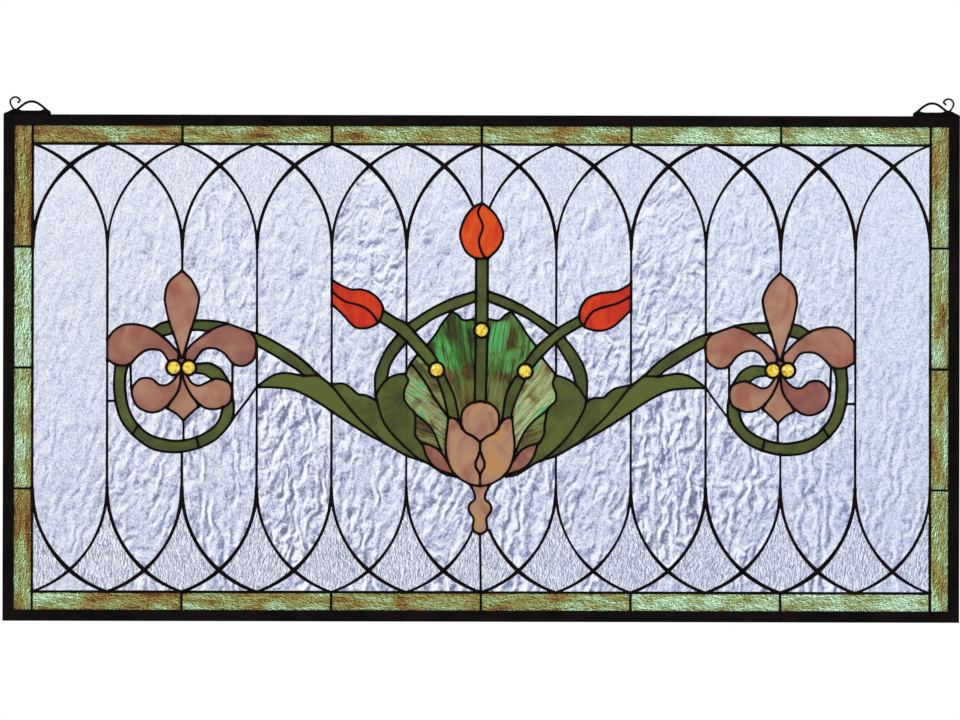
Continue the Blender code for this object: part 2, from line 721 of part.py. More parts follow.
def turned(bm, profile, x, z):
    """A closed solid turned about the axis through (x, z) along Y. The profile is (radius, y)
    from back to front and ends on the axis."""
    turns = [2 * math.pi * i / JEWEL_SIDES for i in range(JEWEL_SIDES)]
    rings = []
    for radius, y in profile[:-1]:
        places = [(x + radius * math.cos(t), y, z - radius * math.sin(t)) for t in turns]
        rings.append([bm.verts.new(p) for p in places])
    top = bm.verts.new((x, profile[-1][1], z))
    bm.faces.new(rings[0])
    for lower, upper in zip(rings, rings[1:]):
        for i, vertex in enumerate(lower):
            after = (i + 1) % JEWEL_SIDES
            bm.faces.new([vertex, lower[after], upper[after], upper[i]])
    for i, vertex in enumerate(rings[-1]):
        bm.faces.new([vertex, rings[-1][(i + 1) % JEWEL_SIDES], top])


def add_jewel(name, centre, material):
    radius = JEWEL_RADIUS - GAP
    half = GLASS_THICKNESS / 2
    profile = [
        (radius, half),
        (radius, -half),
        (radius * JEWEL_SHOULDER_SHARE, -half - JEWEL_DOME * JEWEL_RISE_SHARE),
        (0, -half - JEWEL_DOME),
    ]
    bm = bmesh.new()
    turned(bm, profile, centre.x, centre.y)
    return add_object(name, bm, material)


def seeds():
    """{node: (a grid point inside it, material)} for every sheet of glass."""
    half = COLUMNS_EACH_SIDE
    border = BORDER_WIDTH / 2 / UNIT
    found = {
        "clear_glass_field": ((column(-5) + 37, 300), "clear_glass"),
        "border_glass_left": ((column(-half) - border, GRID_Y), "border_glass"),
        "border_glass_right": ((column(half) + border, GRID_Y), "border_glass"),
        "border_glass_top": ((GRID_X, grid_y(FIELD_HEIGHT / 2) - border), "border_glass"),
        "border_glass_bottom": ((GRID_X, grid_y(-FIELD_HEIGHT / 2) + border), "border_glass"),
        "tulip_left": ((355, 315), "orange_glass"),
        "tulip_centre": ((470, 235), "orange_glass"),
        "tulip_right": ((600, 315), "orange_glass"),
        "stem_centre_upper": ((482, 290), "olive_glass"),
        "stem_centre_lower": ((481.5, 370), "olive_glass"),
        "stem_left_upper": ((402, 326), "olive_glass"),
        "stem_left_lower": ((449, 396), "olive_glass"),
        "stem_right_upper": ((558, 335), "olive_glass"),
        "stem_right_lower": ((511.5, 396), "olive_glass"),
        "ring_left_upper": ((453, 304), "olive_glass"),
        "ring_left_lower": ((385, 364), "olive_glass"),
        "ring_right_upper": ((510, 304.5), "olive_glass"),
        "ring_right_lower": ((578, 364), "olive_glass"),
        "fan_left_inner": ((455, 350), "fan_glass"),
        "fan_left_outer": ((430, 405), "fan_glass"),
        "fan_right_inner": ((508, 350), "fan_glass"),
        "fan_right_outer": ((530, 405), "fan_glass"),
        "leaves_left": ((395, 410), "olive_glass"),
        "leaves_right": ((568, 410), "olive_glass"),
        "lotus_petals": ((465, 455), "peach_glass"),
        "lotus_bud": ((480, 420), "peach_glass"),
        "clear_glass_ring_left": ((401, 365), "clear_glass"),
        "clear_glass_ring_right": ((561, 365), "clear_glass"),
        "clear_glass_fan_left": ((430, 330), "clear_glass"),
        "clear_glass_fan_right": ((533, 330), "clear_glass"),
        "clear_glass_stem_left": ((467, 312), "clear_glass"),
        "clear_glass_stem_right": ((496, 312), "clear_glass"),
    }
    for name, (point, material) in FLEUR_SEEDS.items():
        found["fleur_left_" + name] = (point, material)
        found["fleur_right_" + name] = (right_fleur(point), material)
    return found


def right_fleur(point):
    """Where a point of the left fleur-de-lis lies on the right one."""
    return (2 * GRID_X - point[0] + RIGHT_FLEUR_SHIFT[0], point[1] + RIGHT_FLEUR_SHIFT[1])


def jewel_places():
    found = {"jewel_left": JEWEL_LEFT, "jewel_centre": JEWEL_CENTRE, "jewel_right": JEWEL_RIGHT}
    for name, point in (("outer", FLEUR_JEWEL_OUTER), ("inner", FLEUR_JEWEL_INNER)):
        found["fleur_left_jewel_" + name] = point
        found["fleur_right_jewel_" + name] = right_fleur(point)
    return found


def add_glass(materials):
    """Every sheet of glass, cut back from the seams that go through."""
    plan = seam_plan(GAP)
    groups = plan.bodies(is_glass)
    half = GLASS_THICKNESS / 2
    for name, (point, kind) in seeds().items():
        seed = place(*point)
        group = next(g for g in groups if any(plan.holds(t, seed) for t in g))
        bm = bmesh.new()
        add_layer(bm, plan.corners, group, -half, half)
        add_object(name, bm, materials[kind])


def add_bar(name, length, at, turn, material):
    """A channel bar of the frame with mitred ends. It runs along X with its slot upwards, and is
    then turned about Y and moved."""
    half_depth = FRAME_DEPTH / 2
    lip = half_depth - FRAME_WALL
    web = FRAME_FACE - SLOT_DEPTH
    profile = [
        (0, -half_depth), (FRAME_FACE, -half_depth), (FRAME_FACE, -lip), (web, -lip),
        (web, lip), (FRAME_FACE, lip), (FRAME_FACE, half_depth), (0, half_depth),
    ]
    bm = bmesh.new()
    ends = []
    for side in (-1, 1):
        ends.append([bm.verts.new((side * (length / 2 - z - MITRE_GAP), y, z)) for z, y in profile])
    for i in range(len(profile)):
        after = (i + 1) % len(profile)
        bm.faces.new([ends[0][i], ends[0][after], ends[1][after], ends[1][i]])
    for end in ends:
        bm.faces.new(end)
    bmesh.ops.rotate(bm, verts=bm.verts, matrix=Matrix.Rotation(turn, 3, "Y"))
    bmesh.ops.translate(bm, verts=bm.verts, vec=at)
    return add_object(name, bm, material)


def add_frame(material):
    x, z = FRAME_WIDTH / 2, FRAME_HEIGHT / 2
    add_bar("frame_bottom", FRAME_WIDTH, Vector((0, 0, CENTRE_Z - z)), 0, material)
    add_bar("frame_top", FRAME_WIDTH, Vector((0, 0, CENTRE_Z + z)), math.pi, material)
    add_bar("frame_left", FRAME_HEIGHT, Vector((-x, 0, CENTRE_Z)), math.pi / 2, material)
    add_bar("frame_right", FRAME_HEIGHT, Vector((x, 0, CENTRE_Z)), -math.pi / 2, material)


def hanger_shapes(side):
    """The strips of a hanger. side is -1 at left and 1 at right."""
    foot = CENTRE_Z + FRAME_HEIGHT / 2 + GAP

    def spot(point):
        x = FRAME_WIDTH / 2 - point[0] * HANGER_UNIT
        return Vector((side * x, foot + point[1] * HANGER_UNIT))

    shapes = []
    for points in (HANGER_ARCH, HANGER_CURL):
        chain = thinned(smooth_chain([spot(p) for p in points]), WIRE_TOLERANCE)
        for cell in strip(chain, WIRE, False):
            shapes.append((cell, "wire"))
    saddle = [spot(p) for p in HANGER_SADDLE]
    shapes.append((saddle if side < 0 else saddle[::-1], "wire"))
    return shapes


def add_hanger(name, side, material):
    plan = Plan(hanger_shapes(side))
    bm = bmesh.new()
    metal = plan.chosen(bool)
    add_layer(bm, plan.corners, metal, -HANGER_DEPTH / 2, HANGER_DEPTH / 2)
    return add_object(name, bm, material)


def main():
    for thing in list(bpy.data.objects):
        bpy.data.objects.remove(thing)
    materials = all_materials()
    metal = materials["dark_metal"]
    add_frame(metal)
    add_hanger("hanger_left", -1, metal)
    add_hanger("hanger_right", 1, metal)
    add_seams(metal)
    add_glass(materials)
    for name, point in jewel_places().items():
        add_jewel(name, place(*point), materials["jewel_glass"])


main()
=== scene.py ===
"""The looks of a leaded glass panel: every pane cut on its own, rounded solder on both sides,
rippled and opalescent glass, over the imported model."""

import json
import math
import random

import bmesh
import bpy
from mathutils import Matrix, Vector, bvhtree, geometry, kdtree, noise


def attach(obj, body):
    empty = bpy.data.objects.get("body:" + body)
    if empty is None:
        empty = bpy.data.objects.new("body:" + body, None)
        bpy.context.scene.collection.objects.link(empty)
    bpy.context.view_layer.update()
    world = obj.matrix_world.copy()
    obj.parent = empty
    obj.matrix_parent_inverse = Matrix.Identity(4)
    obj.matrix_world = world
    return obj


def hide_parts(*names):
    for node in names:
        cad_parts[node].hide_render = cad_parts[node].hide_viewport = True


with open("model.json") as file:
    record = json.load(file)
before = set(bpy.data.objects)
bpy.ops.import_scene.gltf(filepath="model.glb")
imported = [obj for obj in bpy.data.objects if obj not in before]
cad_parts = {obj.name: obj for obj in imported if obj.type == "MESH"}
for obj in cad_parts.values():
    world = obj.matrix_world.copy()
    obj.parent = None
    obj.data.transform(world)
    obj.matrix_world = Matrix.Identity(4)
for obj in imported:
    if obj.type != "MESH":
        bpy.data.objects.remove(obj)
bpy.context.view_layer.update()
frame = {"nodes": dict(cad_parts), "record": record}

# Sizes of the panel, in metres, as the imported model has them
FRAME_WIDTH = 1.016
FRAME_HEIGHT = 0.538
FRAME_FACE = 0.012
FRAME_WALL = 0.0017
SLOT_DEPTH = 0.006
BORDER_WIDTH = 0.019
COLUMNS_EACH_SIDE = 6
ARCH_RADIUS = 0.117
GLASS_THICKNESS = 0.003
GAP = 0.0003
PLAY = 0.0003

# Widths of the seams
THIN_SEAM = 0.0025
ARCH_SEAM = 0.0028
PICTURE_SEAM = 0.0026
RAIL_SEAM = 0.0028
DIVIDER_SEAM = 0.0026
# No two arches are soldered alike: each is wider or narrower by a factor in this range
ARCH_WIDTHS = (0.85, 1.3)

# Solder stands proud of the glass as a bead. It laps over the edge of each pane, is uneven, and
# is wider where seams meet.
BEAD_HEIGHT = 0.0013
BEAD_STEEPNESS = 0.55
FOIL_LAP = 0.0003
UNEVEN = 0.2
RING_UNEVEN = 0.05
UNEVEN_SCALE = 24
JOINT_FLARE = 0.0008
JOINT_REACH = 0.0026
CROSSING_FLARE = 0.0004
CROSSING_SWELL = 0.0011
CROSSING_REACH = 0.022
SPRING_SWELL = 0.0005
SPRING_REACH = 0.016
DOME_STEPS = 6
BEAD_STEP = 0.003

# Jewels: round pressed glass with a domed front
JEWEL_RADIUS = 0.0067
JEWEL_DOME = 0.0018
JEWEL_DOME_SHARE = 0.94
JEWEL_BACK_SHARE = 0.9
JEWEL_CHAMFER_SHARE = 0.8
JEWEL_SIDES = 40
JEWEL_RINGS = 8

# Hangers: bent wire soldered to a low saddle on the frame
WIRE = 0.0022
ARCH_WIRE = 0.0026
CURL_WIRE = 0.0019
CURL_TIP = 0.0022
WIRE_SIDES = 14
WIRE_TIP_SHARE = 0.8
HANGER_LENGTH = 0.050
SADDLE_DEPTH = 0.0026
SADDLE_STEPS = 8
SADDLE_LOWEST = 0.3
SADDLE_FULLNESS = 0.6

# The bars' edges are rounded by this share of their wall
EDGE_SHARE = 0.42
EDGE_STEPS = 3

# How closely straight pieces follow a curve
CURVE_TOLERANCE = 0.00006
SPAN_STEPS = 8
ARCH_FACETS = 12
ARCH_TIP_FACETS = 8
END_SHARE = 0.3
END_REACH = 0.0009
TINY = 1e-7
SMALLEST_PANE = 5e-6

# The strips at the sides meet at these shares of the opening's height, from its middle
SIDE_JOINTS = (-0.25, 0, 0.25)
# At a sharp bend a seam's corner reaches out by no more than its half width over this
BEND_LIMIT = 0.5

# Sizes that follow from those above
MITRE_GAP = GAP / 4
OPEN_WIDTH = FRAME_WIDTH - 2 * FRAME_FACE
OPEN_HEIGHT = FRAME_HEIGHT - 2 * FRAME_FACE
FIELD_WIDTH = OPEN_WIDTH - 2 * BORDER_WIDTH
FIELD_HEIGHT = OPEN_HEIGHT - 2 * BORDER_WIDTH
PITCH = FIELD_WIDTH / 2 / COLUMNS_EACH_SIDE
FRAME_DEPTH = GLASS_THICKNESS + 2 * PLAY + 2 * FRAME_WALL
ARCH_HEIGHT = math.sqrt(2 * ARCH_RADIUS * PITCH - PITCH**2)
SPRING_HEIGHT = FIELD_HEIGHT / 2 - ARCH_HEIGHT

# The hanger is drawn on a grid of its own, from the frame's corner, HANGER_GRID long
HANGER_GRID = 46.9
HANGER_UNIT = HANGER_LENGTH / HANGER_GRID
CROWN_Y = 12.6
HANGER_ARCH = [(12.4, 4.2), (16, 6.9), (20.3, 10.2), (23.9, 12), (27.4, CROWN_Y), (31.9, 11.8),
               (37, 8.8), (42, 4.6), (46, 1.7)]
HANGER_CURL = [(10.6, 4), (7.6, 8.2), (6.2, 12.2), (8, 15.8), (11.6, 17), (15, 15.6), (16, 13.4),
               (13.8, 11.3)]
HANGER_SADDLE = [(0, 0.9), (4, 2.7), (8, 4.7), (11, 5.6), (14, 5.5), (16.5, 4.4), (19, 3.8), (28, 3.7),
                 (36, 3.8), (39.5, 4.9), (42, 4.6), (44.5, 3), (HANGER_GRID, 1.2)]
LOOP_TO_FRAME = CROWN_Y * HANGER_UNIT - WIRE / 2 + GAP
CENTRE_Z = -LOOP_TO_FRAME - FRAME_HEIGHT / 2

# The picture is drawn on a grid of its own, whose column pitch is GRID_PITCH. Its middle is at
# GRID_X, GRID_Y, and y runs down.
GRID_PITCH = 74.8
GRID_X = 481.5
GRID_Y = 368.3
LOTUS_X = 480.5
UNIT = PITCH / GRID_PITCH

# The arches of the middle column line start at the middle flower, this share of their turn up
MIDDLE_ARCH_SHARE = 0.313
# The right fleur-de-lis sits a little lower and further in than a mirror image would
RIGHT_FLEUR_SHIFT = (-1.0, 1.5)

# Centres of the jewels
JEWEL_LEFT = (436.9, 369.7)
JEWEL_CENTRE = (481.8, 330)
JEWEL_RIGHT = (525.3, 371)
FLEUR_JEWEL_OUTER = (174.2, 368.1)
FLEUR_JEWEL_INNER = (189, 368.1)

# The camera: straight on, from far off, and rolled a little
IMAGE_WIDTH = 960
CAMERA_DISTANCE = 3.2
CAMERA_SENSOR_MM = 36
CAMERA_ROLL = math.radians(0.13)
CAMERA_AIM = (-1.3, 8.5)
CAMERA_FAR = 20

# The floor, and the lights as (name, place, size, watts)
FLOOR_RADIUS = 1.4
FLOOR_SIDES = 96
FLOOR_Z = -0.9
FLOOR_COLOUR = (0.85, 0.85, 0.86, 1)
WHITE = (1, 1, 1, 1)
LIGHTS = [("key", (-1.2, -2.2, 1.0), 1.4, 5), ("fill", (1.6, -2.0, 0.2), 1.6, 2)]

# The brown of the patina where it is worn, on the solder and on the bars and wires
SOLDER_WORN = (20, 11, 13)
FRAME_WORN = (17, 9, 9)

# The ribs of the fan spread from here
FAN_ROOT = (480.5, 455)

# The clear sheets: how far their ripples lean, and how much calmer they are near the sides
CLEAR_LEAN = (-0.4, 0.05)
CALM_FROM = 0.62
CALM_SHARE = 0.6

# Each pane draws its tint and its place on a larger sheet of glass by chance, from seeds of its own
CLEAR_TINTS = (0.85, 1.25)
OTHER_TINTS = (0.0, 0.5)
SHEET_SPAN = 5
LEAN_SEED = 500
TINT_SEED = 1000

SLOTS = {row["node"]: row["material_slot"] for row in frame["record"]["subparts"]}


class Seam:
    """One line of solder: a chain of points with a width. A smooth one is a curve, simplified
    between its ends and the points whose numbers are in held."""

    def __init__(self, points, width=PICTURE_SEAM, held=(), smooth=True, closed=False):
        self.points = points
        self.width = width
        self.held = held
        self.smooth = smooth
        self.closed = closed

    def mirrored(self, axis, shift=(0, 0)):
        points = [(2 * axis - x + shift[0], y + shift[1]) for x, y in self.points]
        return Seam(points, self.width, self.held, self.smooth, self.closed)


def wide(*points):
    return Seam(points)


def straight(*points):
    return Seam(points, smooth=False)


def thin(*points, width=THIN_SEAM):
    return Seam(points, width)


def held(first, last, *points):
    """A wide seam whose curve keeps the points with these two numbers."""
    return Seam(points, held=(first, last))


def round_steps(sides):
    """(cosine, sine) of each corner of a round outline."""
    turns = [2 * math.pi * i / sides for i in range(sides)]
    return [(math.cos(turn), math.sin(turn)) for turn in turns]


def ring(x, y):
    """The round seam about a jewel."""
    radius = (JEWEL_RADIUS + PICTURE_SEAM / 2) / UNIT
    points = [(x + radius * cosine, y + radius * sine) for cosine, sine in round_steps(JEWEL_SIDES)]
    return Seam(points, smooth=False, closed=True)


def column(i):
    """Grid x of column line i, counted from the middle."""
    return GRID_X + i * GRID_PITCH


def grid_y(z):
    """Grid y of a height above the panel's middle."""
    return GRID_Y - z / UNIT


def fleur_seams():
    """The left fleur-de-lis in its ring, with the stem that leaves it."""
    left = column(-5)
    petals = [
        held(6, 7, (182, 271), (168.9, 283), (165, 298), (166.6, 309.7), (169.6, 322.8), (175.8, 340.4),
             (179.9, 353.5), (181.4, 359)),
        held(6, 7, (182, 271), (191.8, 280.7), (198.9, 295.5), (198.3, 305.9), (194.9, 319.7),
             (190.3, 333.5), (184.4, 353.5), (182.8, 359)),
        held(0, 1, (178.2, 360.5), (178.8, 353.5), (172.7, 346.5), (165, 338.8), (153.6, 330.4),
             (144.4, 326.6), (134.4, 324.8), (123, 325.8), (113.5, 332), (left, 340)),
        wide((left, 338), (left, 362)),
        wide((left, 360), (117, 365.4), (129, 365.3), (137, 357.6), (144.5, 351.7), (152.5, 349.9),
             (162, 351.8), (169.3, 362)),
        held(0, 1, (185.4, 360.5), (185.6, 353.5), (191.6, 345.2), (203.5, 335.6), (214.7, 328.6),
             (226.5, 324.6)),
        wide((251.1, 332.6), (255.8, 340), (256.8, 348), (254, 359.4), (245.6, 365.8), (237.1, 365.8),
             (231.5, 362.2), (224.5, 353.8), (214.7, 348.9), (203.5, 350.3), (194.1, 362)),
        wide((177.5, 375.6), (173.5, 381), (167, 385.4), (160, 385.4), (153, 379.8), (145.9, 378.4),
             (138.9, 380.5), (132.6, 388.9), (133.3, 398.7), (138.9, 407.9), (150.2, 412.8),
             (160, 411.4), (169.2, 405)),
        wide((187, 375.6), (192.2, 383.3), (199.3, 386.1), (207.7, 382.6), (216.1, 379.1),
             (225.9, 381.2), (231.5, 386.1), (232.4, 395.9), (228.7, 404.3), (217.5, 409.3),
             (206.3, 408.6), (197.4, 402.8)),
        held(0, 3, (181.4, 373), (180.2, 386), (176.8, 394.5), (169.2, 405), (167.5, 409)),
        held(0, 3, (182, 373), (185.2, 383.3), (190.8, 394.5), (197.4, 402.8), (198.9, 407.1)),
        wide((167.5, 409), (176.8, 414.2), (183.8, 421)),
        wide((198.9, 407.1), (192.2, 412.8), (183.8, 421)),
    ]
    rings = [
        wide((115.8, 364.5), (114.4, 383.3), (115.8, 401.5), (122.1, 421.2), (134.7, 436.6),
             (153, 449.2), (175.4, 452.8), (196.5, 449.2), (214.7, 440.8), (227.3, 428.2), (233, 418.4),
             (234.2, 406), (232.6, 396)),
        wide((128.4, 365), (125.6, 376.3), (125.6, 390.3), (128.4, 407.1), (136.1, 422.6),
             (150.2, 435.2), (169.8, 440.8), (183.8, 440.8), (199.3, 436.6), (213.3, 428.2),
             (220.3, 418.4), (223.3, 407)),
        thin((132.6, 435.2), (138.8, 425.4)),
        thin((199.6, 448.5), (196.9, 437.6)),
        wide((152.3, 329.8), (161, 324), (169.8, 321.8)),
        thin((162.2, 336.6), (173.5, 333.6)),
        thin((191, 330.6), (200, 330.6), (209, 332)),
        wide((195.3, 320.9), (206.3, 320.9), (220.3, 322.3), (230, 324.8), (241.4, 328.8),
             (252, 332.8)),
    ]
    inside = [
        wide((196, 364.6), (209.1, 363.7), (220.3, 369.3), (227.3, 379.1), (232.2, 387)),
        thin((196.3, 373.3), (204.9, 374.9), (213, 380)),
        thin((130.7, 365), (131.6, 389)),
        thin((232.9, 365), (232.4, 389)),
        thin((183.8, 421), (184, 440.8)),
        thin((left, 401.5), (115.8, 401.5)),
    ]
    return petals + rings + inside + [ring(*FLEUR_JEWEL_OUTER), ring(*FLEUR_JEWEL_INNER)]


def leaf_seams():
    """The long stem and the long leaf at left, without the leaves next to the fan."""
    return [
        held(6, 10, (251.1, 332.4), (264.2, 336.5), (281.2, 345.7), (295.6, 354.8), (308.7, 365.3),
             (317.8, 374.5), (332.2, 386.2), (342.7, 399.3), (355.7, 415), (368.8, 428.1),
             (385.8, 443.7)),
        wide((256.9, 345.5), (273.4, 354.8), (287.8, 364), (298.2, 370.5), (304, 376)),
        thin((303.4, 375.9), (318.5, 375.6)),
        wide((256.8, 387.5), (264.2, 381.6), (274.7, 375.1), (285.1, 373.1), (295.6, 374.5),
             (304, 376)),
        wide((256.8, 387.5), (266.8, 387.5), (281.2, 388.2), (294.3, 390.1), (308.7, 396.7),
             (321.7, 404.5), (332.2, 411.7), (349.2, 422.8), (366.2, 433.3), (385.8, 443.7),
             (406.4, 455.3), (425.9, 462.1), (444.6, 473.8), (457.1, 476.4)),
        thin((256.8, 387.5), (248.5, 399.3), (239.4, 411.1), (232.6, 420)),
    ]


def left_flower_seams():
    """The left tulip, its stem, the arcs of the big ring and the leaves next to the fan."""
    side = column(-2)
    tulip = [
        wide((side, 280), (341.7, 285.7), (351.4, 289.5), (361.2, 289.5), (371, 292.8), (379.1, 299.8),
             (383, 307.5), (382.3, 314.5), (378.5, 322.3), (371, 326.9), (363.4, 328.5), (355.8, 327.5),
             (349.3, 322), (341.7, 313.4), (side, 304.5)),
        wide((side, 278), (side, 306.5)),
        thin((side, 291.5), (343.9, 300.9), (355.8, 304.2), (364.4, 307.4), (372, 313.4),
             (378.5, 322.3)),
    ]
    stem = [
        wide((383.4, 310.4), (395.9, 318.2), (406.7, 323.6), (414.3, 331.8), (426.2, 344.8),
             (434.9, 355.6), (438, 362)),
        wide((379.6, 321.4), (389.4, 327.5), (399.1, 334.5), (408.9, 343.7), (417.6, 353.5),
             (426.2, 363.2), (430, 367.5)),
        wide((436.8, 377), (443.8, 396.1), (448.6, 417)),
        wide((443.6, 372.6), (447.3, 380), (453.6, 393.4), (457.1, 406.8), (459.2, 420.5)),
        ring(*JEWEL_LEFT),
    ]
    arcs = [
        wide((476, 291), (451.8, 298.6), (428.9, 310.1), (407.5, 324.2)),
        wide((476, 300.9), (454.9, 309.3), (433.5, 318.5), (414.7, 332)),
        wide((398.1, 334.2), (387.2, 348.1), (380.2, 362.2), (375.8, 374.1), (375.3, 388.2),
             (376.4, 400.5)),
        wide((406.8, 342), (395.9, 355.6), (389.9, 366.5), (387, 380)),
    ]
    leaves = [
        wide((376.2, 395), (381.9, 384.9), (388.4, 378.4), (397.6, 374.5), (406, 373.7)),
        wide((418, 354), (411.1, 363.2), (406, 373.7), (408.6, 380.5), (405, 389), (404.5, 398.8),
             (409.5, 407), (415.2, 413.5), (415.8, 425), (415.8, 435.4), (423, 444.2)),
        thin((376.3, 398), (382.1, 417.5), (389.3, 430), (400, 441.6), (412.5, 453.2), (422, 461)),
        wide((331.5, 384.6), (342.7, 383.6), (350.5, 387.5), (358.4, 394.1), (366.2, 395.4),
             (376.3, 400.2)),
        thin((411.1, 363.2), (424.1, 380), (435.7, 399.6), (448.4, 416.6)),
        thin((415.2, 413.5), (426.8, 422.9), (434.8, 433.6), (441.4, 450.5)),
    ]
    return tulip + stem + arcs + leaves


def right_flower_seams():
    """The same pieces at right, which are cut a little differently."""
    side = column(2)
    tulip = [
        wide((side, 283), (618.5, 290.1), (607.7, 291.7), (597.9, 293.3), (587.1, 298.2),
             (580.6, 307.9), (579.5, 317.7), (583.8, 325.8), (592.5, 329.6), (602.3, 330.2),
             (612, 326.9), (619.6, 321), (side, 309.5)),
        wide((side, 281), (side, 311.5)),
        thin((side, 295.5), (618.5, 302.5), (605.5, 306.3), (594.7, 310.1), (588.2, 316.6),
             (583.8, 325.8)),
    ]
    stem = [
        wide((579.6, 315.4), (562.2, 325.3), (552.4, 332.9), (537.2, 345.9), (526.4, 360),
             (524.4, 364)),
        wide((583, 324.6), (565.4, 335), (554.6, 343.7), (541.6, 356.7), (532, 368)),
        wide((518.8, 374.2), (513.4, 380), (506.3, 395.2), (502.4, 420.5)),
        wide((526.2, 378), (517, 397.9), (512.5, 411.3), (511.6, 417)),
        ring(*JEWEL_RIGHT),
    ]
    arcs = [
        wide((487.8, 291), (506.9, 297.9), (525.3, 307), (552.9, 324.6), (558.6, 328)),
        wide((487.8, 300.9), (505.4, 307.8), (528.4, 318.5), (550.6, 334.6)),
        wide((563.6, 335.8), (574.1, 349.1), (582.7, 363.2), (587.1, 378.4), (587, 401.5)),
        wide((556, 342.4), (566.5, 360), (573, 373), (576.3, 385)),
    ]
    leaves = [
        wide((586.9, 400), (579.5, 388.2), (573.9, 382.6), (568.2, 378.9), (562, 376.4), (555.5, 375)),
        wide((541.8, 356.6), (547.6, 364), (552.6, 370.2), (555.5, 375), (553, 383.2), (556.4, 393.6),
             (555.4, 401.2), (548.2, 408.8), (545, 424.6), (544.6, 433.2), (540, 442.4)),
        thin((586.9, 399), (584.8, 408), (578.6, 420.2), (568.8, 435.4), (555.4, 449.6), (541, 461)),
        wide((631.5, 384.6), (616, 387.8), (608.9, 392.5), (603.6, 397), (592.9, 398), (586.7, 401.5)),
        thin((548.2, 408.8), (537.5, 417.5), (528.6, 426.4), (521.4, 438), (516.2, 452)),
    ]
    return tulip + stem + arcs + leaves


def inner_fan_seams():
    """The inner piece of the fan, at left of the middle stem."""
    return [
        wide((427, 345.4), (436.5, 333.1), (441.9, 323.9), (451.6, 311.4)),
        wide((451.6, 311.4), (458, 314.9), (464.1, 320.1), (476, 318.5)),
    ]


def lotus_seams():
    """Left half of the lotus under the fan, drawn about its own axis."""
    x = LOTUS_X
    return [
        wide((x, 401), (470.5, 403.5), (463.5, 410), (461.5, 418), (462.5, 427), (466.5, 432.5),
             (474, 436.5), (x, 442)),
        wide((448.8, 417), (453.8, 418), (458.3, 420.8), (462.6, 428.5)),
        held(3, 6, (448.8, 416.5), (447.4, 430), (446, 445), (447, 457), (449.5, 464.5), (452.5, 470.5),
             (456.2, 475.2)),
        held(2, 3, (456.2, 475.2), (461, 479), (471, 484.3), (x, 485.8)),
        wide((421, 442.6), (431, 445.3), (439, 449.6), (444, 455.5), (447, 460)),
        wide((423, 444), (426.5, 455), (432.5, 464.3), (440, 469.7), (450, 473.2), (456.2, 475.2)),
        Seam([(x, 450), (x - 2.2, 456.5), (x - 4.5, 462), (x - 4.3, 467), (x - 2, 470.6), (x, 475.4),
              (x + 2, 470.6), (x + 4.3, 467), (x + 4.5, 462), (x + 2.2, 456.5)],
             THIN_SEAM, smooth=False, closed=True),
        thin((x, 442), (x, 450)),
        thin((x, 475.4), (x, 485.8)),
        wide((471, 485), (474.8, 493), (475.2, 499), (470.7, 503.3), (469, 508.5), (471, 513.5),
             (474.1, 518.6), (473.5, 529.5), (x, 534.5)),
    ]


def middle_seams():
    """The middle tulip and its stem."""
    return [
        wide((481.8, 203), (474, 206.8), (465.6, 216.7), (460.3, 231.5), (461.8, 242.8), (467.1, 252.7),
             (476.6, 259)),
        wide((481.8, 203), (488.6, 207.6), (496.2, 216), (502.6, 230), (502.4, 239.7), (497, 249.6),
             (488, 258.2)),
        thin((481.8, 203), (477.9, 212.9), (482.7, 226), (479, 240), (480.9, 250.4), (485.3, 258)),
        straight((476.4, 258.6), (488, 258)),
        straight((476.2, 257.5), (475.9, 325.4)),
        straight((487.9, 257), (487.7, 325.4)),
        straight((475.9, 334.6), (475, 403)),
        straight((487.7, 334.6), (486, 403)),
        ring(*JEWEL_CENTRE),
    ]


def column_seams():
    """The lines between the columns, from one row of arches to the other, where they show."""
    top = grid_y(FIELD_HEIGHT / 2)
    bottom = grid_y(-FIELD_HEIGHT / 2)
    spring = grid_y(SPRING_HEIGHT)
    foot = grid_y(-SPRING_HEIGHT)
    stretches = [
        (-5, spring, foot),
        (-4, spring, 271),
        (-4, 452.5, foot),
        (-3, spring, 335),
        (-3, 346, foot),
        (-2, spring, 280),
        (-2, 305, 385),
        (-2, 411.5, foot),
        (-1, spring, 323.5),
        (-1, 455.3, foot),
    ]
    stretches += [(-i, y0, y1) for i, y0, y1 in stretches]
    stretches += [(-1, 342.5, 373.6), (1, 342.5, 375)]
    seams = [thin((column(i), y0), (column(i), y1)) for i, y0, y1 in stretches]
    seams.append(thin((column(0), top), (481.8, 203)))
    seams.append(thin((LOTUS_X, 533), (column(0), bottom)))
    return seams


def arch_seams():
    """Two rows of crossing arches. Each arc springs upright from a column line and ends at the
    rail over the next one."""
    radius = ARCH_RADIUS / UNIT
    top = grid_y(FIELD_HEIGHT / 2)
    end = math.acos(1 - GRID_PITCH / radius)
    crossing = math.acos(1 - GRID_PITCH / 2 / radius)
    tip = (end - crossing) / ARCH_TIP_FACETS
    rise = radius * math.sin(end)
    seams = []
    half = COLUMNS_EACH_SIDE
    chance = random.Random(half)
    for i in range(-half, half + 1):
        for side in (-1, 1):
            if abs(i + side) > half:
                continue
            start = 0 if i else end * MIDDLE_ARCH_SHARE
            step = (crossing - start) / ARCH_FACETS
            turns = [start + step * n for n in range(ARCH_FACETS)]
            turns += [crossing + tip * n for n in range(ARCH_TIP_FACETS + 1)]
            arc = []
            for turn in turns:
                x = column(i) + side * radius * (1 - math.cos(turn))
                arc.append((x, top + rise - radius * math.sin(turn)))
            upside_down = [(x, 2 * GRID_Y - y) for x, y in arc]
            for points in (arc, upside_down):
                width = ARCH_SEAM * chance.uniform(*ARCH_WIDTHS)
                seams.append(Seam(points, width, smooth=False))
    return seams


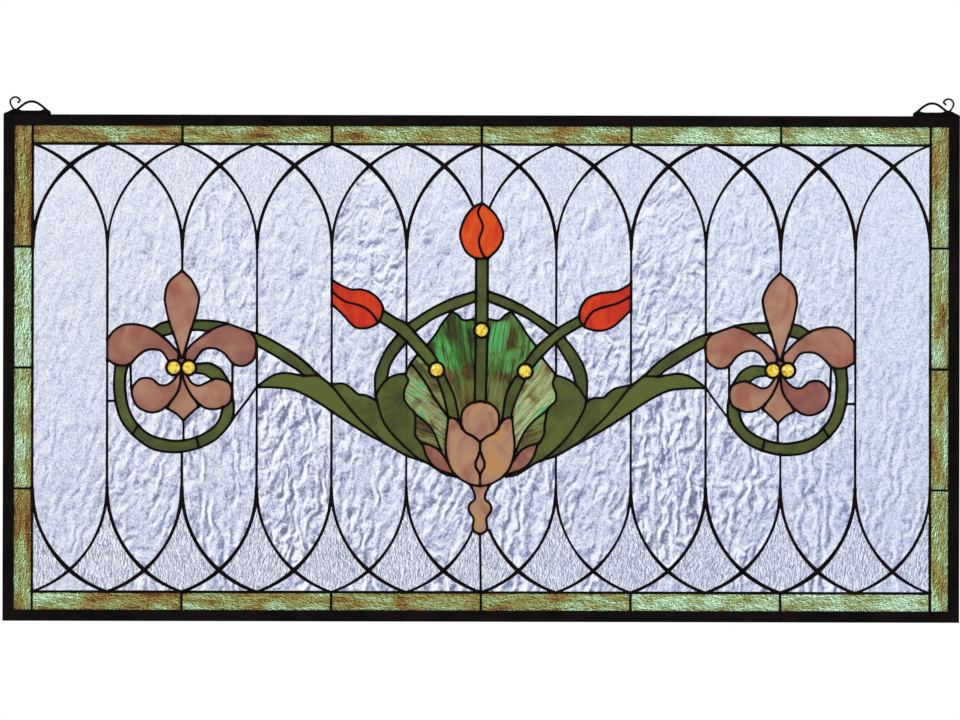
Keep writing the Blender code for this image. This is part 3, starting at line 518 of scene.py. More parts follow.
def border_seams():
    """The rails about the field and the short joints across the border."""
    half = COLUMNS_EACH_SIDE
    past = SLOT_DEPTH + BORDER_WIDTH
    top, bottom = grid_y(FIELD_HEIGHT / 2), grid_y(-FIELD_HEIGHT / 2)
    far_top, far_bottom = top - past / UNIT, bottom + past / UNIT
    left, right = column(-half), column(half)
    far_left, far_right = left - past / UNIT, right + past / UNIT
    seams = []
    for x in (left, right):
        seams.append(Seam([(x, far_top), (x, far_bottom)], DIVIDER_SEAM, smooth=False))
    for y in (top, bottom):
        seams.append(Seam([(left, y), (right, y)], RAIL_SEAM, smooth=False))
    for i in range(-half + 2, half, 2):
        seams.append(thin((column(i), far_top), (column(i), top), width=RAIL_SEAM))
        seams.append(thin((column(i), bottom), (column(i), far_bottom), width=RAIL_SEAM))
    for share in SIDE_JOINTS:
        y = grid_y(share * OPEN_HEIGHT)
        seams.append(thin((far_left, y), (left, y)))
        seams.append(thin((right, y), (far_right, y)))
    return seams


def both_sides(seams, axis, shift=(0, 0)):
    """Each seam, followed by its mirror image."""
    return [each for seam in seams for each in (seam, seam.mirrored(axis, shift))]


def symmetric_seams():
    """The seams about the middle flower that are the same at left and at right."""
    return both_sides(leaf_seams() + inner_fan_seams(), GRID_X) + both_sides(lotus_seams(), LOTUS_X)


def all_seams():
    seams = border_seams() + arch_seams() + column_seams() + middle_seams()
    seams += both_sides(fleur_seams(), GRID_X, RIGHT_FLEUR_SHIFT) + symmetric_seams()
    return seams + left_flower_seams() + right_flower_seams()


def place(x, y):
    """A grid point in the panel's plane, in metres."""
    return Vector(((x - GRID_X) * UNIT, CENTRE_Z + (GRID_Y - y) * UNIT))


def smooth_span(before, start, end, after):
    """Points of a smooth curve between start and end, without end."""
    found = []
    for i in range(SPAN_STEPS):
        t = i / SPAN_STEPS
        found.append(
            0.5 * (2 * start + (end - before) * t
                   + (2 * before - 5 * start + 4 * end - after) * t**2
                   + (3 * start - before - 3 * end + after) * t**3)
        )
    return found


def thinned(points):
    """The points of an open chain that keep it within the tolerance of its curve."""
    if len(points) < 3:
        return points
    start, end = points[0], points[-1]
    along = (end - start).normalized()
    offs = []
    for point in points[1:-1]:
        away = point - start
        offs.append((away - along * away.dot(along)).length)
    worst = max(range(len(offs)), key=offs.__getitem__)
    if offs[worst] <= CURVE_TOLERANCE:
        return [start, end]
    split = worst + 1
    return thinned(points[: split + 1])[:-1] + thinned(points[split:])


def smooth_chain(knots):
    """A smooth curve through the knots."""
    chain = []
    for i in range(len(knots) - 1):
        chain += smooth_span(*neighbours(knots, i))
    return chain + [knots[-1]]


def neighbours(knots, i):
    """Four points that set the curve from knot i to the next one."""
    start, end = knots[i], knots[i + 1]
    before = knots[i - 1] if i else 2 * start - end
    after = knots[i + 2] if i + 2 < len(knots) else 2 * end - start
    return before, start, end, after


def path_of(seam):
    """The corners of the line that follows a seam, in metres."""
    knots = [place(x, y) for x, y in seam.points]
    if seam.closed:
        knots.append(knots[0])
    if not seam.smooth:
        return knots
    cuts = sorted({0, len(knots) - 1, *seam.held})
    chain = []
    for first, last in zip(cuts, cuts[1:]):
        piece = []
        for i in range(first, last):
            piece += smooth_span(*neighbours(knots, i))
        chain += thinned(piece + [knots[last]])[:-1]
    return chain + [knots[-1]]


def strip(points, width, closed):
    """A chain of points as a row of four-cornered cells of that width."""
    half = width / 2
    lefts, rights = [], []
    for i, point in enumerate(points):
        into = points[i] - points[i - 1] if i else None
        out = points[i + 1] - points[i] if i + 1 < len(points) else None
        if closed:
            into = into or points[-1] - points[-2]
            out = out or points[1] - points[0]
        first = (into or out).normalized()
        second = (out or into).normalized()
        mid = (first + second).normalized()
        across = Vector((-mid.y, mid.x)) * half / max(BEND_LIMIT, mid.dot(first))
        lefts.append(point + across)
        rights.append(point - across)
    if not closed:
        push_out(points, lefts, rights)
    cells = []
    for i in range(len(points) - 1):
        cells.append([rights[i], rights[i + 1], lefts[i + 1], lefts[i]])
    return cells


def push_out(points, lefts, rights):
    """Lengthens both ends of a strip, so that it runs into what it meets."""
    for end, inner in ((0, 1), (-1, -2)):
        out = (points[end] - points[inner]).normalized() * END_REACH
        lefts[end] = lefts[end] + out
        rights[end] = rights[end] + out


def box_corners(width, height):
    """The corners of a box about the panel's middle."""
    x, z = width / 2, height / 2
    low, high = CENTRE_Z - z, CENTRE_Z + z
    return [Vector(c) for c in ((-x, low), (x, low), (x, high), (-x, high))]


class Plan:
    """The panel's plane in triangles, and which of them are glass."""

    def __init__(self, panel, cells):
        """Each cell is a part of a seam. Corners go counterclockwise."""
        corners, faces = [], []
        for points in [panel, *cells]:
            faces.append(list(range(len(corners), len(corners) + len(points))))
            corners += points
        found = geometry.delaunay_2d_cdt(corners, [], faces, 1, TINY, True)
        self.corners = found[0]
        # Glass is where the panel, which is face 0, is covered by no cell
        self.glass = [face for face, sources in zip(found[2], found[5]) if set(sources) == {0}]

    def panes(self):
        """The triangles of glass in groups that meet at edges."""
        at_edge = {}
        for i, triangle in enumerate(self.glass):
            for edge in edges_of(triangle):
                at_edge.setdefault(frozenset(edge), []).append(i)
        seen, groups = set(), []
        for start in range(len(self.glass)):
            if start in seen:
                continue
            seen.add(start)
            queue, group = [start], []
            while queue:
                i = queue.pop()
                group.append(self.glass[i])
                for edge in edges_of(self.glass[i]):
                    for j in at_edge[frozenset(edge)]:
                        if j not in seen:
                            seen.add(j)
                            queue.append(j)
            groups.append(group)
        return groups

    def holds(self, triangle, point):
        a, b, c = (self.corners[i] for i in triangle)
        return geometry.intersect_point_tri_2d(point, a, b, c) != 0


def edges_of(face):
    return list(zip(face, face[1:] + face[:1]))


def panel_plan():
    """The plan of the whole panel, with every seam narrower by what it laps over the glass."""
    slot = 2 * (SLOT_DEPTH - GAP)
    cells = []
    for seam in all_seams():
        cells += strip(path_of(seam), seam.width - 2 * FOIL_LAP, seam.closed)
    return Plan(box_corners(OPEN_WIDTH + slot, OPEN_HEIGHT + slot), cells)


class Pane:
    """One piece of glass: its triangles in the plan, a point well inside it, and the node of
    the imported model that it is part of."""

    def __init__(self, plan, triangles, number):
        self.plan = plan
        self.triangles = triangles
        self.number = number
        areas = [self.area_of(t) for t in triangles]
        self.area = sum(areas)
        largest = triangles[areas.index(max(areas))]
        self.spot = sum((plan.corners[i] for i in largest), Vector((0, 0))) / 3
        self.node = None

    def area_of(self, triangle):
        a, b, c = (self.plan.corners[i] for i in triangle)
        return abs((b - a).cross(c - a)) / 2

    def holds(self, x, y):
        point = place(x, y)
        return any(self.plan.holds(t, point) for t in self.triangles)


def node_finder():
    """A function that names the glass node in front of a point of the panel's plane."""
    corners, faces, owners = [], [], []
    for name, thing in frame["nodes"].items():
        if name.startswith(("frame", "hanger", "solder")):
            continue
        first = len(corners)
        corners += [v.co.copy() for v in thing.data.vertices]
        for polygon in thing.data.polygons:
            faces.append([first + i for i in polygon.vertices])
            owners.append(name)
    tree = bvhtree.BVHTree.FromPolygons(corners, faces)

    def node_at(point):
        hit = tree.ray_cast(Vector((point.x, -1, point.y)), Vector((0, 1, 0)))
        return owners[hit[2]] if hit[0] else None

    return node_at


def find_panes():
    plan = panel_plan()
    node_at = node_finder()
    panes = []
    for number, triangles in enumerate(plan.panes()):
        pane = Pane(plan, triangles, number)
        pane.node = node_at(pane.spot)
        if pane.area > SMALLEST_PANE and pane.node and "jewel" not in pane.node:
            panes.append(pane)
    return panes


def arch_place(point):
    """Where a point of clear glass lies in the arcade: "triangle", "kite" or "lancet"."""
    x = GRID_X + point.x / UNIT
    y = GRID_Y - (point.y - CENTRE_Z) / UNIT
    above_middle = abs(y - GRID_Y)
    spring = SPRING_HEIGHT / UNIT
    if above_middle < spring:
        return "lancet"
    radius = ARCH_RADIUS / UNIT
    i = math.floor((x - GRID_X) / GRID_PITCH)
    rise = above_middle - spring
    outside = 0
    for centre in (column(i) + radius, column(i + 1) - radius):
        outside += math.hypot(x - centre, rise) > radius
    return ("lancet", "kite", "triangle")[outside]


def srgb(*levels):
    """A colour as it looks on a screen, 0 to 255, as the numbers that a shader takes."""
    return tuple(((v / 255 + 0.055) / 1.055) ** 2.4 if v > 10 else v / 255 / 12.92 for v in levels)


def add_node(tree, kind, inputs, **settings):
    node = tree.nodes.new("ShaderNode" + kind)
    for key, value in settings.items():
        setattr(node, key, value)
    for key, value in inputs.items():
        if isinstance(value, bpy.types.NodeSocket):
            tree.links.new(value, node.inputs[key])
        else:
            node.inputs[key].default_value = value
    return node


def ramp(tree, factor, *stops):
    """A colour ramp of (place, colour) stops. A single number is a grey."""
    node = add_node(tree, "ValToRGB", {"Fac": factor})
    elements = node.color_ramp.elements
    places = [at for at, _ in stops]
    colours = [(*(c if isinstance(c, tuple) else (c, c, c)), 1) for _, c in stops]
    elements[0].position, elements[1].position = places[0], places[-1]
    elements[0].color, elements[1].color = colours[0], colours[-1]
    for at, colour in zip(places[1:-1], colours[1:-1]):
        elements.new(at).color = colour
    return node.outputs["Color"]


def shades(tree, factor, *stops):
    """A colour ramp of (place, red, green, blue) stops, in colours as they look on a screen."""
    return ramp(tree, factor, *((at, srgb(*levels)) for at, *levels in stops))


def maths(tree, operation, *values):
    node = add_node(tree, "Math", dict(enumerate(values)), operation=operation)
    return node.outputs[0]


def scaled(tree, value, gain, base):
    """value times gain, plus base."""
    return maths(tree, "MULTIPLY_ADD", value, gain, base)


def swing(tree, value, gain, base):
    """base, plus what value is over its middle, 0.5, times gain."""
    return scaled(tree, maths(tree, "SUBTRACT", value, 0.5), gain, base)


def mix(tree, factor, first, second, blend_type="MIX"):
    """Two colours mixed. The colour sockets of the node are those with the numbers used here."""
    node = add_node(tree, "Mix", {}, data_type="RGBA", blend_type=blend_type)
    for number, value in ((0, factor), (6, first), (7, second)):
        socket = node.inputs[number]
        if isinstance(value, bpy.types.NodeSocket):
            tree.links.new(value, socket)
        elif isinstance(value, tuple):
            socket.default_value = (*value, 1)
        else:
            socket.default_value = value
    return node.outputs[2]


def grain(tree, stretch, scale, away=(0, 0, 0), texture="TexNoise", **settings):
    """A texture along the sheet of glass, stretched by a factor for each direction."""
    sheet = add_node(tree, "Attribute", {}, attribute_name="sheet")
    inputs = {"Vector": sheet.outputs["Vector"], "Scale": stretch, "Location": away}
    spot = add_node(tree, "Mapping", inputs)
    inputs = {"Vector": spot.outputs["Vector"], "Scale": scale}
    inputs.update({key.replace("_", " ").title(): value for key, value in settings.items()})
    return add_node(tree, texture, inputs).outputs["Fac"]


def relief(tree, stretch, scale, away, height_gain, slope_gain, **settings):
    """(A relief's height from 0 to 1, how light it looks when lit from one side, about zero)."""
    here = grain(tree, stretch, scale, **settings)
    beside = grain(tree, stretch, scale, away, **settings)
    slope = maths(tree, "SUBTRACT", here, beside)
    height = maths(tree, "MULTIPLY", maths(tree, "SUBTRACT", here, 0.5), height_gain)
    return here, scaled(tree, slope, slope_gain, height)


def panel_spot(tree):
    """The place on the panel, in metres."""
    return add_node(tree, "TexCoord", {}).outputs["Object"]


def tint(tree):
    return add_node(tree, "Attribute", {}, attribute_name="tint").outputs["Fac"]


def across_panel(tree, axis, start, end, first, last):
    """A value that goes from first to last between two places of the panel."""
    value = add_node(tree, "SeparateXYZ", {"Vector": panel_spot(tree)}).outputs[axis]
    inputs = {"Value": value, "From Min": start, "From Max": end, "To Min": first, "To Max": last}
    return add_node(tree, "MapRange", inputs).outputs["Result"]


def new_material(name, roughness, **values):
    material = bpy.data.materials.new(name)
    material.use_nodes = True
    shader = material.node_tree.nodes["Principled BSDF"]
    shader.inputs["Roughness"].default_value = roughness
    for key, value in values.items():
        shader.inputs[key.replace("_", " ")].default_value = value
    return material, material.node_tree, shader


def finish(tree, shader, colour, height, depth, strength):
    """Joins the colour and the relief to the shader."""
    tree.links.new(colour, shader.inputs["Base Color"])
    bump = add_node(tree, "Bump", {"Height": height, "Distance": depth, "Strength": strength})
    tree.links.new(bump.outputs["Normal"], shader.inputs["Normal"])


# The ripples of the clear glass grow between these shares of the field's height, from its middle
CALM_HEIGHT = 0.42
LIVELY_DEPTH = 0.3
CLEAR = {"Transmission_Weight": 1.0, "IOR": 1.5}
OPAL = {"Specular_IOR_Level": 0.2}
# Colours of the clear glass, from dark lavender to white, on which the painted shade and highlight of
# its ripples are laid
CLEAR_STOPS = [(0.0, 104, 109, 142), (0.25, 159, 164, 196), (0.5, 203, 209, 232),
               (0.75, 231, 236, 248), (1.0, 252, 253, 255)]


def lower_down(tree, first, last):
    """The clear sheets are calm near the top of the panel and strongly rippled near its foot."""
    calm = CENTRE_Z + FIELD_HEIGHT * CALM_HEIGHT
    lively = CENTRE_Z - FIELD_HEIGHT * LIVELY_DEPTH
    return across_panel(tree, "Z", calm, lively, first, last)


def clear_colour(tree, level):
    colour = shades(tree, level, *CLEAR_STOPS)
    side = across_panel(tree, "X", -FIELD_WIDTH / 2, FIELD_WIDTH / 2, 0, 1)
    bluer = shades(tree, side, (0, 255, 255, 255), (1, 246, 250, 255))
    return mix(tree, 1.0, colour, bluer, "MULTIPLY")


def rippled_clear():
    """Clear water glass, softly crumpled near the top, combed into finger-like waves lower down, with
    painted shade and highlight on each ripple as if lit from one side.
    """
    material, tree, shader = new_material("rippled_clear", 0.06, **CLEAR)
    low_down = lower_down(tree, 0, 1)
    # Each relief gives a height for the bump and a painted shade: lighter on one side of each ripple,
    # darker on the other, as if lit from one side
    height, crumple_painted_shade = relief(
        tree, (1.15, 1, 0.75), 62, (0.002, 0, -0.0017), 0.3, 2.3,
        detail=3, roughness=0.55, distortion=1.0,
    )
    combed, finger_painted_shade = relief(
        tree, (1, 1, 0.8), 24, (0.002, 0, -0.0008), 0.46, 0.42, texture="TexWave",
        distortion=8.5, detail=2, detail_scale=2.4, detail_roughness=0.5,
    )
    marks = grain(tree, (1.6, 1, 0.8), 52, (2, 0, 7), detail=3, roughness=0.6, distortion=0.9)
    marks = ramp(tree, marks, (0.56, 0), (0.66, 1))
    speckle = grain(tree, (1.1, 1, 1), 480, detail=2, roughness=0.8)
    steeper = scaled(tree, low_down, 0.45, 0.85)
    lively = maths(tree, "MULTIPLY", maths(tree, "POWER", tint(tree), 2), steeper)
    patches = ramp(tree, grain(tree, (1, 1, 0.8), 24, (5, 0, 3), detail=1), (0.4, 0), (0.52, 1))
    combing = maths(tree, "MULTIPLY", patches, low_down)
    combing = maths(tree, "MULTIPLY", combing, tint(tree))
    # Painted shade and highlight of the crumple and of the finger waves, laid into the glass's colour
    level = scaled(tree, crumple_painted_shade, lively, 0.68)
    level = scaled(tree, finger_painted_shade, combing, level)
    level = swing(tree, speckle, 2.0, level)
    level = scaled(tree, maths(tree, "MULTIPLY", marks, tint(tree)), -0.27, level)
    level = scaled(tree, low_down, -0.14, level)
    both = scaled(tree, combed, maths(tree, "MULTIPLY", combing, 0.6), height)
    finish(tree, shader, clear_colour(tree, level), both, 0.0006, 0.7)
    return material


def granite_clear():
    """Clear glass with a fine worm-like grain, painted lighter on one side of each worm and darker on
    the other, as if lit from one side.
    """
    material, tree, shader = new_material("granite_clear", 0.1, **CLEAR)
    height, worm_painted_shade = relief(
        tree, (2.1, 1, 0.7), 195, (0.0012, 0, 0.0002), 1.8, 3.7,
        detail=2, roughness=0.6, distortion=1.0,
    )
    speckle = grain(tree, (1.1, 1, 1), 500, detail=2, roughness=0.8)
    cloud = grain(tree, (1, 1, 1), 40, detail=2)
    # Painted shade and highlight of the worm-like grain, stronger lower down
    level = scaled(tree, worm_painted_shade, lower_down(tree, 0.45, 1.75), 0.67)
    level = maths(tree, "SUBTRACT", level, lower_down(tree, 0, 0.05))
    level = swing(tree, speckle, 1.9, level)
    level = swing(tree, cloud, 0.3, level)
    finish(tree, shader, clear_colour(tree, level), height, 0.0004, 0.8)
    return material


def border_streaky():
    """Green, olive and amber glass, streaked along the strip, with a finely rippled face whose ripples
    are painted lighter and darker as if lit from one side.
    """
    material, tree, shader = new_material("border_streaky", 0.22, **OPAL)
    zones = grain(tree, (0.8, 1, 1.4), 26, detail=2, roughness=0.5, distortion=0.8)
    bands = grain(tree, (0.25, 1, 2.0), 80, detail=3, roughness=0.6, distortion=0.7)
    height, threads = relief(
        tree, (0.6, 1, 1.4), 400, (0.0003, 0, 0.0006), 1.1, 2.6,
        detail=3, roughness=0.75, distortion=0.9,
    )
    level = scaled(tree, zones, 1.6, scaled(tree, bands, 1.4, -1.45))
    level = scaled(tree, tint(tree), 0.95, level)
    # The ripples' painted shade also moves the glass's colour along its ramp here
    level = scaled(tree, threads, -0.35, level)
    colour = shades(
        tree, level,
        (0.0, 172, 204, 170), (0.2, 146, 172, 124), (0.4, 136, 146, 86), (0.58, 136, 124, 60),
        (0.78, 124, 88, 34), (1.0, 86, 50, 20),
    )
    # Painted shade and highlight of the fine ripples, multiplied into the colour
    light = scaled(tree, threads, 2.9, 0.98)
    shade = add_node(tree, "CombineColor", dict.fromkeys(("Red", "Green", "Blue"), light))
    colour = mix(tree, 1.0, colour, shade.outputs["Color"], "MULTIPLY")
    finish(tree, shader, colour, height, 0.0004, 0.7)
    return material


def olive_opal():
    material, tree, shader = new_material("olive_opal", 0.2, **OPAL)
    cloud = grain(tree, (1, 1, 1), 36, detail=3, roughness=0.55, distortion=0.5)
    fine = grain(tree, (1, 1, 1), 420, detail=2)
    level = scaled(tree, fine, 0.3, maths(tree, "MULTIPLY", cloud, 0.85))
    level = scaled(tree, tint(tree), 0.3, level)
    colour = shades(tree, level, (0.42, 53, 60, 24), (0.6, 69, 78, 31), (0.8, 85, 96, 38))
    finish(tree, shader, colour, cloud, 0.0002, 0.3)
    return material


def mauve_opal():
    material, tree, shader = new_material("mauve_opal", 0.16, **OPAL)
    cloud = grain(tree, (1, 1, 1), 34, detail=2, roughness=0.5, distortion=0.7)
    patch = grain(tree, (1, 1, 0.6), 52, (3, 0, 2), detail=2, roughness=0.5, distortion=0.5)
    level = scaled(tree, cloud, 1.5, -0.25)
    level = swing(tree, tint(tree), 0.8, level)
    colour = shades(
        tree, level,
        (0.05, 124, 72, 70), (0.3, 142, 90, 78), (0.55, 158, 108, 90), (0.75, 168, 122, 98),
        (1.0, 176, 138, 110),
    )
    rose = ramp(tree, patch, (0.56, 0), (0.7, 0.7))
    finish(tree, shader, mix(tree, rose, colour, srgb(156, 82, 62)), cloud, 0.0002, 0.3)
    return material


def orange_opal():
    material, tree, shader = new_material("orange_opal", 0.15, **OPAL)
    cloud = grain(tree, (1.2, 1, 0.7), 55, detail=3, roughness=0.55, distortion=0.8)
    level = scaled(tree, tint(tree), -0.3, cloud)
    colour = shades(
        tree, level,
        (0.1, 182, 32, 6), (0.32, 204, 50, 6), (0.5, 214, 72, 6), (0.68, 226, 98, 14),
    )
    finish(tree, shader, colour, cloud, 0.0002, 0.3)
    return material


def from_fan_root(tree):
    """The distance from the point that the ribs of the fan spread from."""
    root = place(*FAN_ROOT)
    inputs = {0: panel_spot(tree), 1: (root.x, 0, root.y)}
    return add_node(tree, "VectorMath", inputs, operation="DISTANCE").outputs["Value"]


def fan_streaky():
    """Emerald and pale green glass with brown drifts, streaked outwards like a shell."""
    material, tree, shader = new_material("fan_streaky", 0.16, **OPAL)
    bands = grain(tree, (1.25, 1, 0.5), 44, detail=4, roughness=0.6, distortion=1.1)
    threads = grain(tree, (3.6, 1, 0.16), 150, detail=4, roughness=0.65, distortion=0.4)
    drift = grain(tree, (1.3, 1, 0.8), 24, detail=4, roughness=0.6, distortion=1.6)
    outwards = from_fan_root(tree)
    green = shades(
        tree, bands,
        (0.34, 48, 54, 18), (0.43, 56, 94, 32), (0.53, 62, 130, 52), (0.62, 74, 168, 92),
    )
    olive = shades(tree, bands, (0.34, 74, 50, 18), (0.5, 94, 82, 34), (0.66, 112, 112, 54))
    foot = ramp(tree, outwards, (0.074, 0.9), (0.09, 0))
    green = mix(tree, foot, green, olive)
    pale = shades(
        tree, bands,
        (0.37, 114, 90, 46), (0.45, 146, 148, 88), (0.54, 180, 190, 142), (0.62, 90, 178, 110),
    )
    glass = mix(tree, tint(tree), green, pale)
    waist = ramp(tree, outwards, (0.076, 0), (0.085, 0.21), (0.091, 0.21), (0.104, 0))
    inner = maths(tree, "SUBTRACT", 1, tint(tree))
    drift = scaled(tree, waist, inner, drift)
    brown = ramp(tree, drift, (0.57, 0), (0.66, 0.95))
    brown = maths(tree, "MULTIPLY", brown, scaled(tree, inner, 0.6, 0.35))
    umber = shades(tree, bands, (0.38, 54, 28, 12), (0.64, 108, 72, 32))
    glass = mix(tree, brown, glass, umber)
    lines = ramp(tree, threads, (0.38, (0.26, 0.2, 0.12)), (0.49, 1), (0.68, (1.2, 1.2, 1.14)))
    finish(tree, shader, mix(tree, 1.0, glass, lines, "MULTIPLY"), threads, 0.0003, 0.4)
    return material


def peach_opal():
    material, tree, shader = new_material("peach_opal", 0.16, **OPAL)
    cloud = grain(tree, (1.1, 1, 0.8), 36, detail=2, roughness=0.5, distortion=0.8)
    level = scaled(tree, cloud, 2.4, -0.72)
    level = swing(tree, tint(tree), 0.8, level)
    colour = shades(
        tree, level,
        (0.0, 136, 82, 68), (0.3, 160, 110, 88), (0.5, 169, 127, 101), (0.66, 175, 134, 98),
        (0.84, 183, 134, 82), (1.0, 188, 126, 62),
    )
    finish(tree, shader, colour, cloud, 0.0002, 0.3)
    return material


def jewel_glass():
    material, tree, shader = new_material("jewel_glass", 0.05, Specular_IOR_Level=0.6)
    spot = panel_spot(tree)
    cells = add_node(tree, "TexVoronoi", {"Vector": spot, "Scale": 330}).outputs["Distance"]
    cloud = add_node(tree, "TexNoise", {"Vector": spot, "Scale": 300, "Detail": 2}).outputs["Fac"]
    level = scaled(tree, cloud, 0.8, maths(tree, "MULTIPLY", cells, 0.6))
    # The mottled cells stand for the jewel's stippled glass; their palest cream is painted glint, the
    # yellows and ambers are the glass's own colour
    colour = shades(
        tree, level,
        (0.4, 255, 250, 190), (0.55, 247, 226, 74), (0.73, 235, 203, 34), (0.93, 190, 140, 10),
    )
    finish(tree, shader, colour, cells, 0.0005, 0.6)
    return material


def dark_patina(name, worn):
    """Black patina on metal, slightly browner where it is worn."""
    material, tree, shader = new_material(name, 0.5, Specular_IOR_Level=0.05)
    spot = panel_spot(tree)
    rough = add_node(tree, "TexNoise", {"Vector": spot, "Scale": 260, "Detail": 4}).outputs["Fac"]
    cloud = add_node(tree, "TexNoise", {"Vector": spot, "Scale": 38, "Detail": 3}).outputs["Fac"]
    colour = shades(tree, cloud, (0.35, 3, 2, 2), (0.62, *worn))
    finish(tree, shader, colour, rough, 0.0003, 0.35)
    roughness = ramp(tree, rough, (0.3, 0.42), (0.7, 0.68))
    tree.links.new(roughness, shader.inputs["Roughness"])
    return material


def link_object(name, bm, material, smooth=False):
    bmesh.ops.recalc_face_normals(bm, faces=bm.faces)
    mesh = bpy.data.meshes.new(name)
    bm.to_mesh(mesh)
    bm.free()
    for polygon in mesh.polygons:
        polygon.use_smooth = smooth
    mesh.materials.append(material)
    thing = bpy.data.objects.new(name, mesh)
    bpy.context.scene.collection.objects.link(thing)
    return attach(thing, "root")


def grain_angle(pane):
    """The way the streaks of a pane run, from the panel's X."""
    if slot_of(pane) == "clear_glass":
        return random.Random(pane.number + LEAN_SEED).uniform(*CLEAR_LEAN)
    if pane.node in ("border_glass_left", "border_glass_right"):
        return math.pi / 2
    if pane.node.startswith("fan"):
        out = pane.spot - place(*FAN_ROOT)
        return math.atan2(out.y, out.x) - math.pi / 2
    return 0


def add_pane(bm, pane, tint_value):
    """A slab of the pane, with the places on the sheet of glass that it was cut from."""
    sheet, tint_layer = bm.verts.layers.float_vector["sheet"], bm.verts.layers.float["tint"]
    half = GLASS_THICKNESS / 2
    chance = random.Random(pane.number)
    turn = Matrix.Rotation(-grain_angle(pane), 2)
    away = Vector((chance.uniform(0, SHEET_SPAN), chance.uniform(0, SHEET_SPAN)))
    points = {}
    for triangle in pane.triangles:
        for i in triangle:
            if i in points:
                continue
            corner = pane.plan.corners[i]
            on_sheet = turn @ corner + away
            points[i] = []
            for y in (-half, half):
                vertex = bm.verts.new((corner.x, y, corner.y))
                vertex[sheet] = (on_sheet.x, y, on_sheet.y)
                vertex[tint_layer] = tint_value
                points[i].append(vertex)
    inside = {edge for t in pane.triangles for edge in edges_of(t)}
    for triangle in pane.triangles:
        bm.faces.new([points[i][0] for i in triangle])
        bm.faces.new([points[i][1] for i in reversed(triangle)])
        for a, b in edges_of(triangle):
            if (b, a) not in inside:
                bm.faces.new([points[b][0], points[a][0], points[a][1], points[b][1]])


# How far a pane's colour is turned from its kind's first colour to its last, by a grid point in it
TINTS = [
    ((182, 300), 0.6), ((130, 345), 0.38), ((230, 345), 0.3), ((150, 395), 0.55), ((216, 395), 0.62),
    ((183, 405), 0.7), ((781, 300), 0.82), ((732, 345), 0.5), ((830, 345), 0.58),
    ((752, 398), 0.75), ((812, 398), 0.2), ((779, 408), 0.82),
    ((455, 350), 0.0), ((508, 350), 0.1), ((420, 370), 0.32), ((443, 430), 0.58), ((427, 438), 0.2),
    ((541, 396), 0.86), ((541, 435), 0.1),
    ((439, 458), 0.02), ((522, 458), 0.08), ((480, 510), 0.6), ((480, 420), 0.64), ((466, 446), 0.44),
    ((495, 446), 0.68), ((480, 460), 0.4),
    ((474, 232), 0.0), ((488, 237), 0.1), ((358, 300), 0.8), ((360, 321), 0.9), ((602, 302), 1.0),
    ((623, 310), 0.9),
    ((309, 383), 0.95), ((654, 383), 0.95),
    ((23, 200), 0.62), ((23, 300), 0.05), ((23, 430), 0.3), ((23, 550), 0.5),
    ((940, 190), 0.36), ((940, 300), 0.36), ((940, 430), 0.38), ((940, 550), 0.36),
    ((100, 135), 0.5), ((260, 135), 0.52), ((400, 135), 0.46), ((560, 135), 0.5), ((700, 135), 0.18),
    ((850, 135), 0.28), ((100, 602), 0.52), ((260, 602), 0.55), ((400, 602), 0.53), ((560, 602), 0.5),
    ((700, 602), 0.2), ((850, 602), 0.1),
]

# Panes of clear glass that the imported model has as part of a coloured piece, by a grid point
LEFT_CLEAR_SPOTS = [(172, 338), (195, 335), (205, 382)]


def right_fleur(x, y):
    """Where a point of the left fleur-de-lis lies on the right one."""
    return 2 * GRID_X - x + RIGHT_FLEUR_SHIFT[0], y + RIGHT_FLEUR_SHIFT[1]


def slot_of(pane):
    """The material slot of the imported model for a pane."""
    clear_spots = LEFT_CLEAR_SPOTS + [right_fleur(*spot) for spot in LEFT_CLEAR_SPOTS]
    if any(pane.holds(*spot) for spot in clear_spots):
        return "clear_glass"
    return SLOTS[pane.node]


def tint_of(pane):
    for (x, y), value in TINTS:
        if pane.holds(x, y):
            return value
    chance = random.Random(pane.number + TINT_SEED)
    if slot_of(pane) == "clear_glass":
        calm = max(0, abs(pane.spot.x) / (FIELD_WIDTH / 2) - CALM_FROM) / (1 - CALM_FROM)
        return chance.uniform(*CLEAR_TINTS) * (1 - calm * CALM_SHARE)
    return chance.uniform(*OTHER_TINTS)


def piece_of(pane):
    """(the piece that a pane goes into, the material of it)."""
    slot = slot_of(pane)
    if slot == "clear_glass":
        where = arch_place(pane.spot)
        return where + "_glass", {"lancet": "rippled", "kite": "granite", "triangle": "rippled"}[where]
    kind = slot.removesuffix("_glass")
    if pane.node.startswith("fleur"):
        side = pane.node.split("_")[1]
        return f"fleur_{side}_{'petals' if kind == 'mauve' else 'ring'}_glass", kind
    return pane.node.split("_")[0] + "_glass", kind


def add_glass(materials):
    groups = {}
    for pane in find_panes():
        groups.setdefault(piece_of(pane), []).append(pane)
    for (name, kind), panes in groups.items():
        bm = bmesh.new()
        bm.verts.layers.float_vector.new("sheet")
        bm.verts.layers.float.new("tint")
        for pane in panes:
            add_pane(bm, pane, tint_of(pane))
        thing = link_object(name, bm, materials[kind])
        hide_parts(*{pane.node for pane in panes})
        slot_of(panes[0])


def add_skin(bm, rings):
    """Faces from each ring of vertices to the next one."""
    for first, second in zip(rings, rings[1:]):
        for i in range(len(first)):
            j = (i + 1) % len(first)
            bm.faces.new([first[i], first[j], second[j], second[i]])


def add_tip(bm, ring, tip):
    """Faces from a ring of vertices to a point."""
    top = bm.verts.new(tip)
    for i in range(len(ring)):
        bm.faces.new([ring[i], ring[(i + 1) % len(ring)], top])


def add_ends(bm, rings):
    bm.faces.new(rings[0])
    bm.faces.new(rings[-1])


def search_tree(spots):
    tree = kdtree.KDTree(len(spots))
    for i, spot in enumerate(spots):
        tree.insert((spot.x, spot.y, 0), i)
    tree.balance()
    return tree


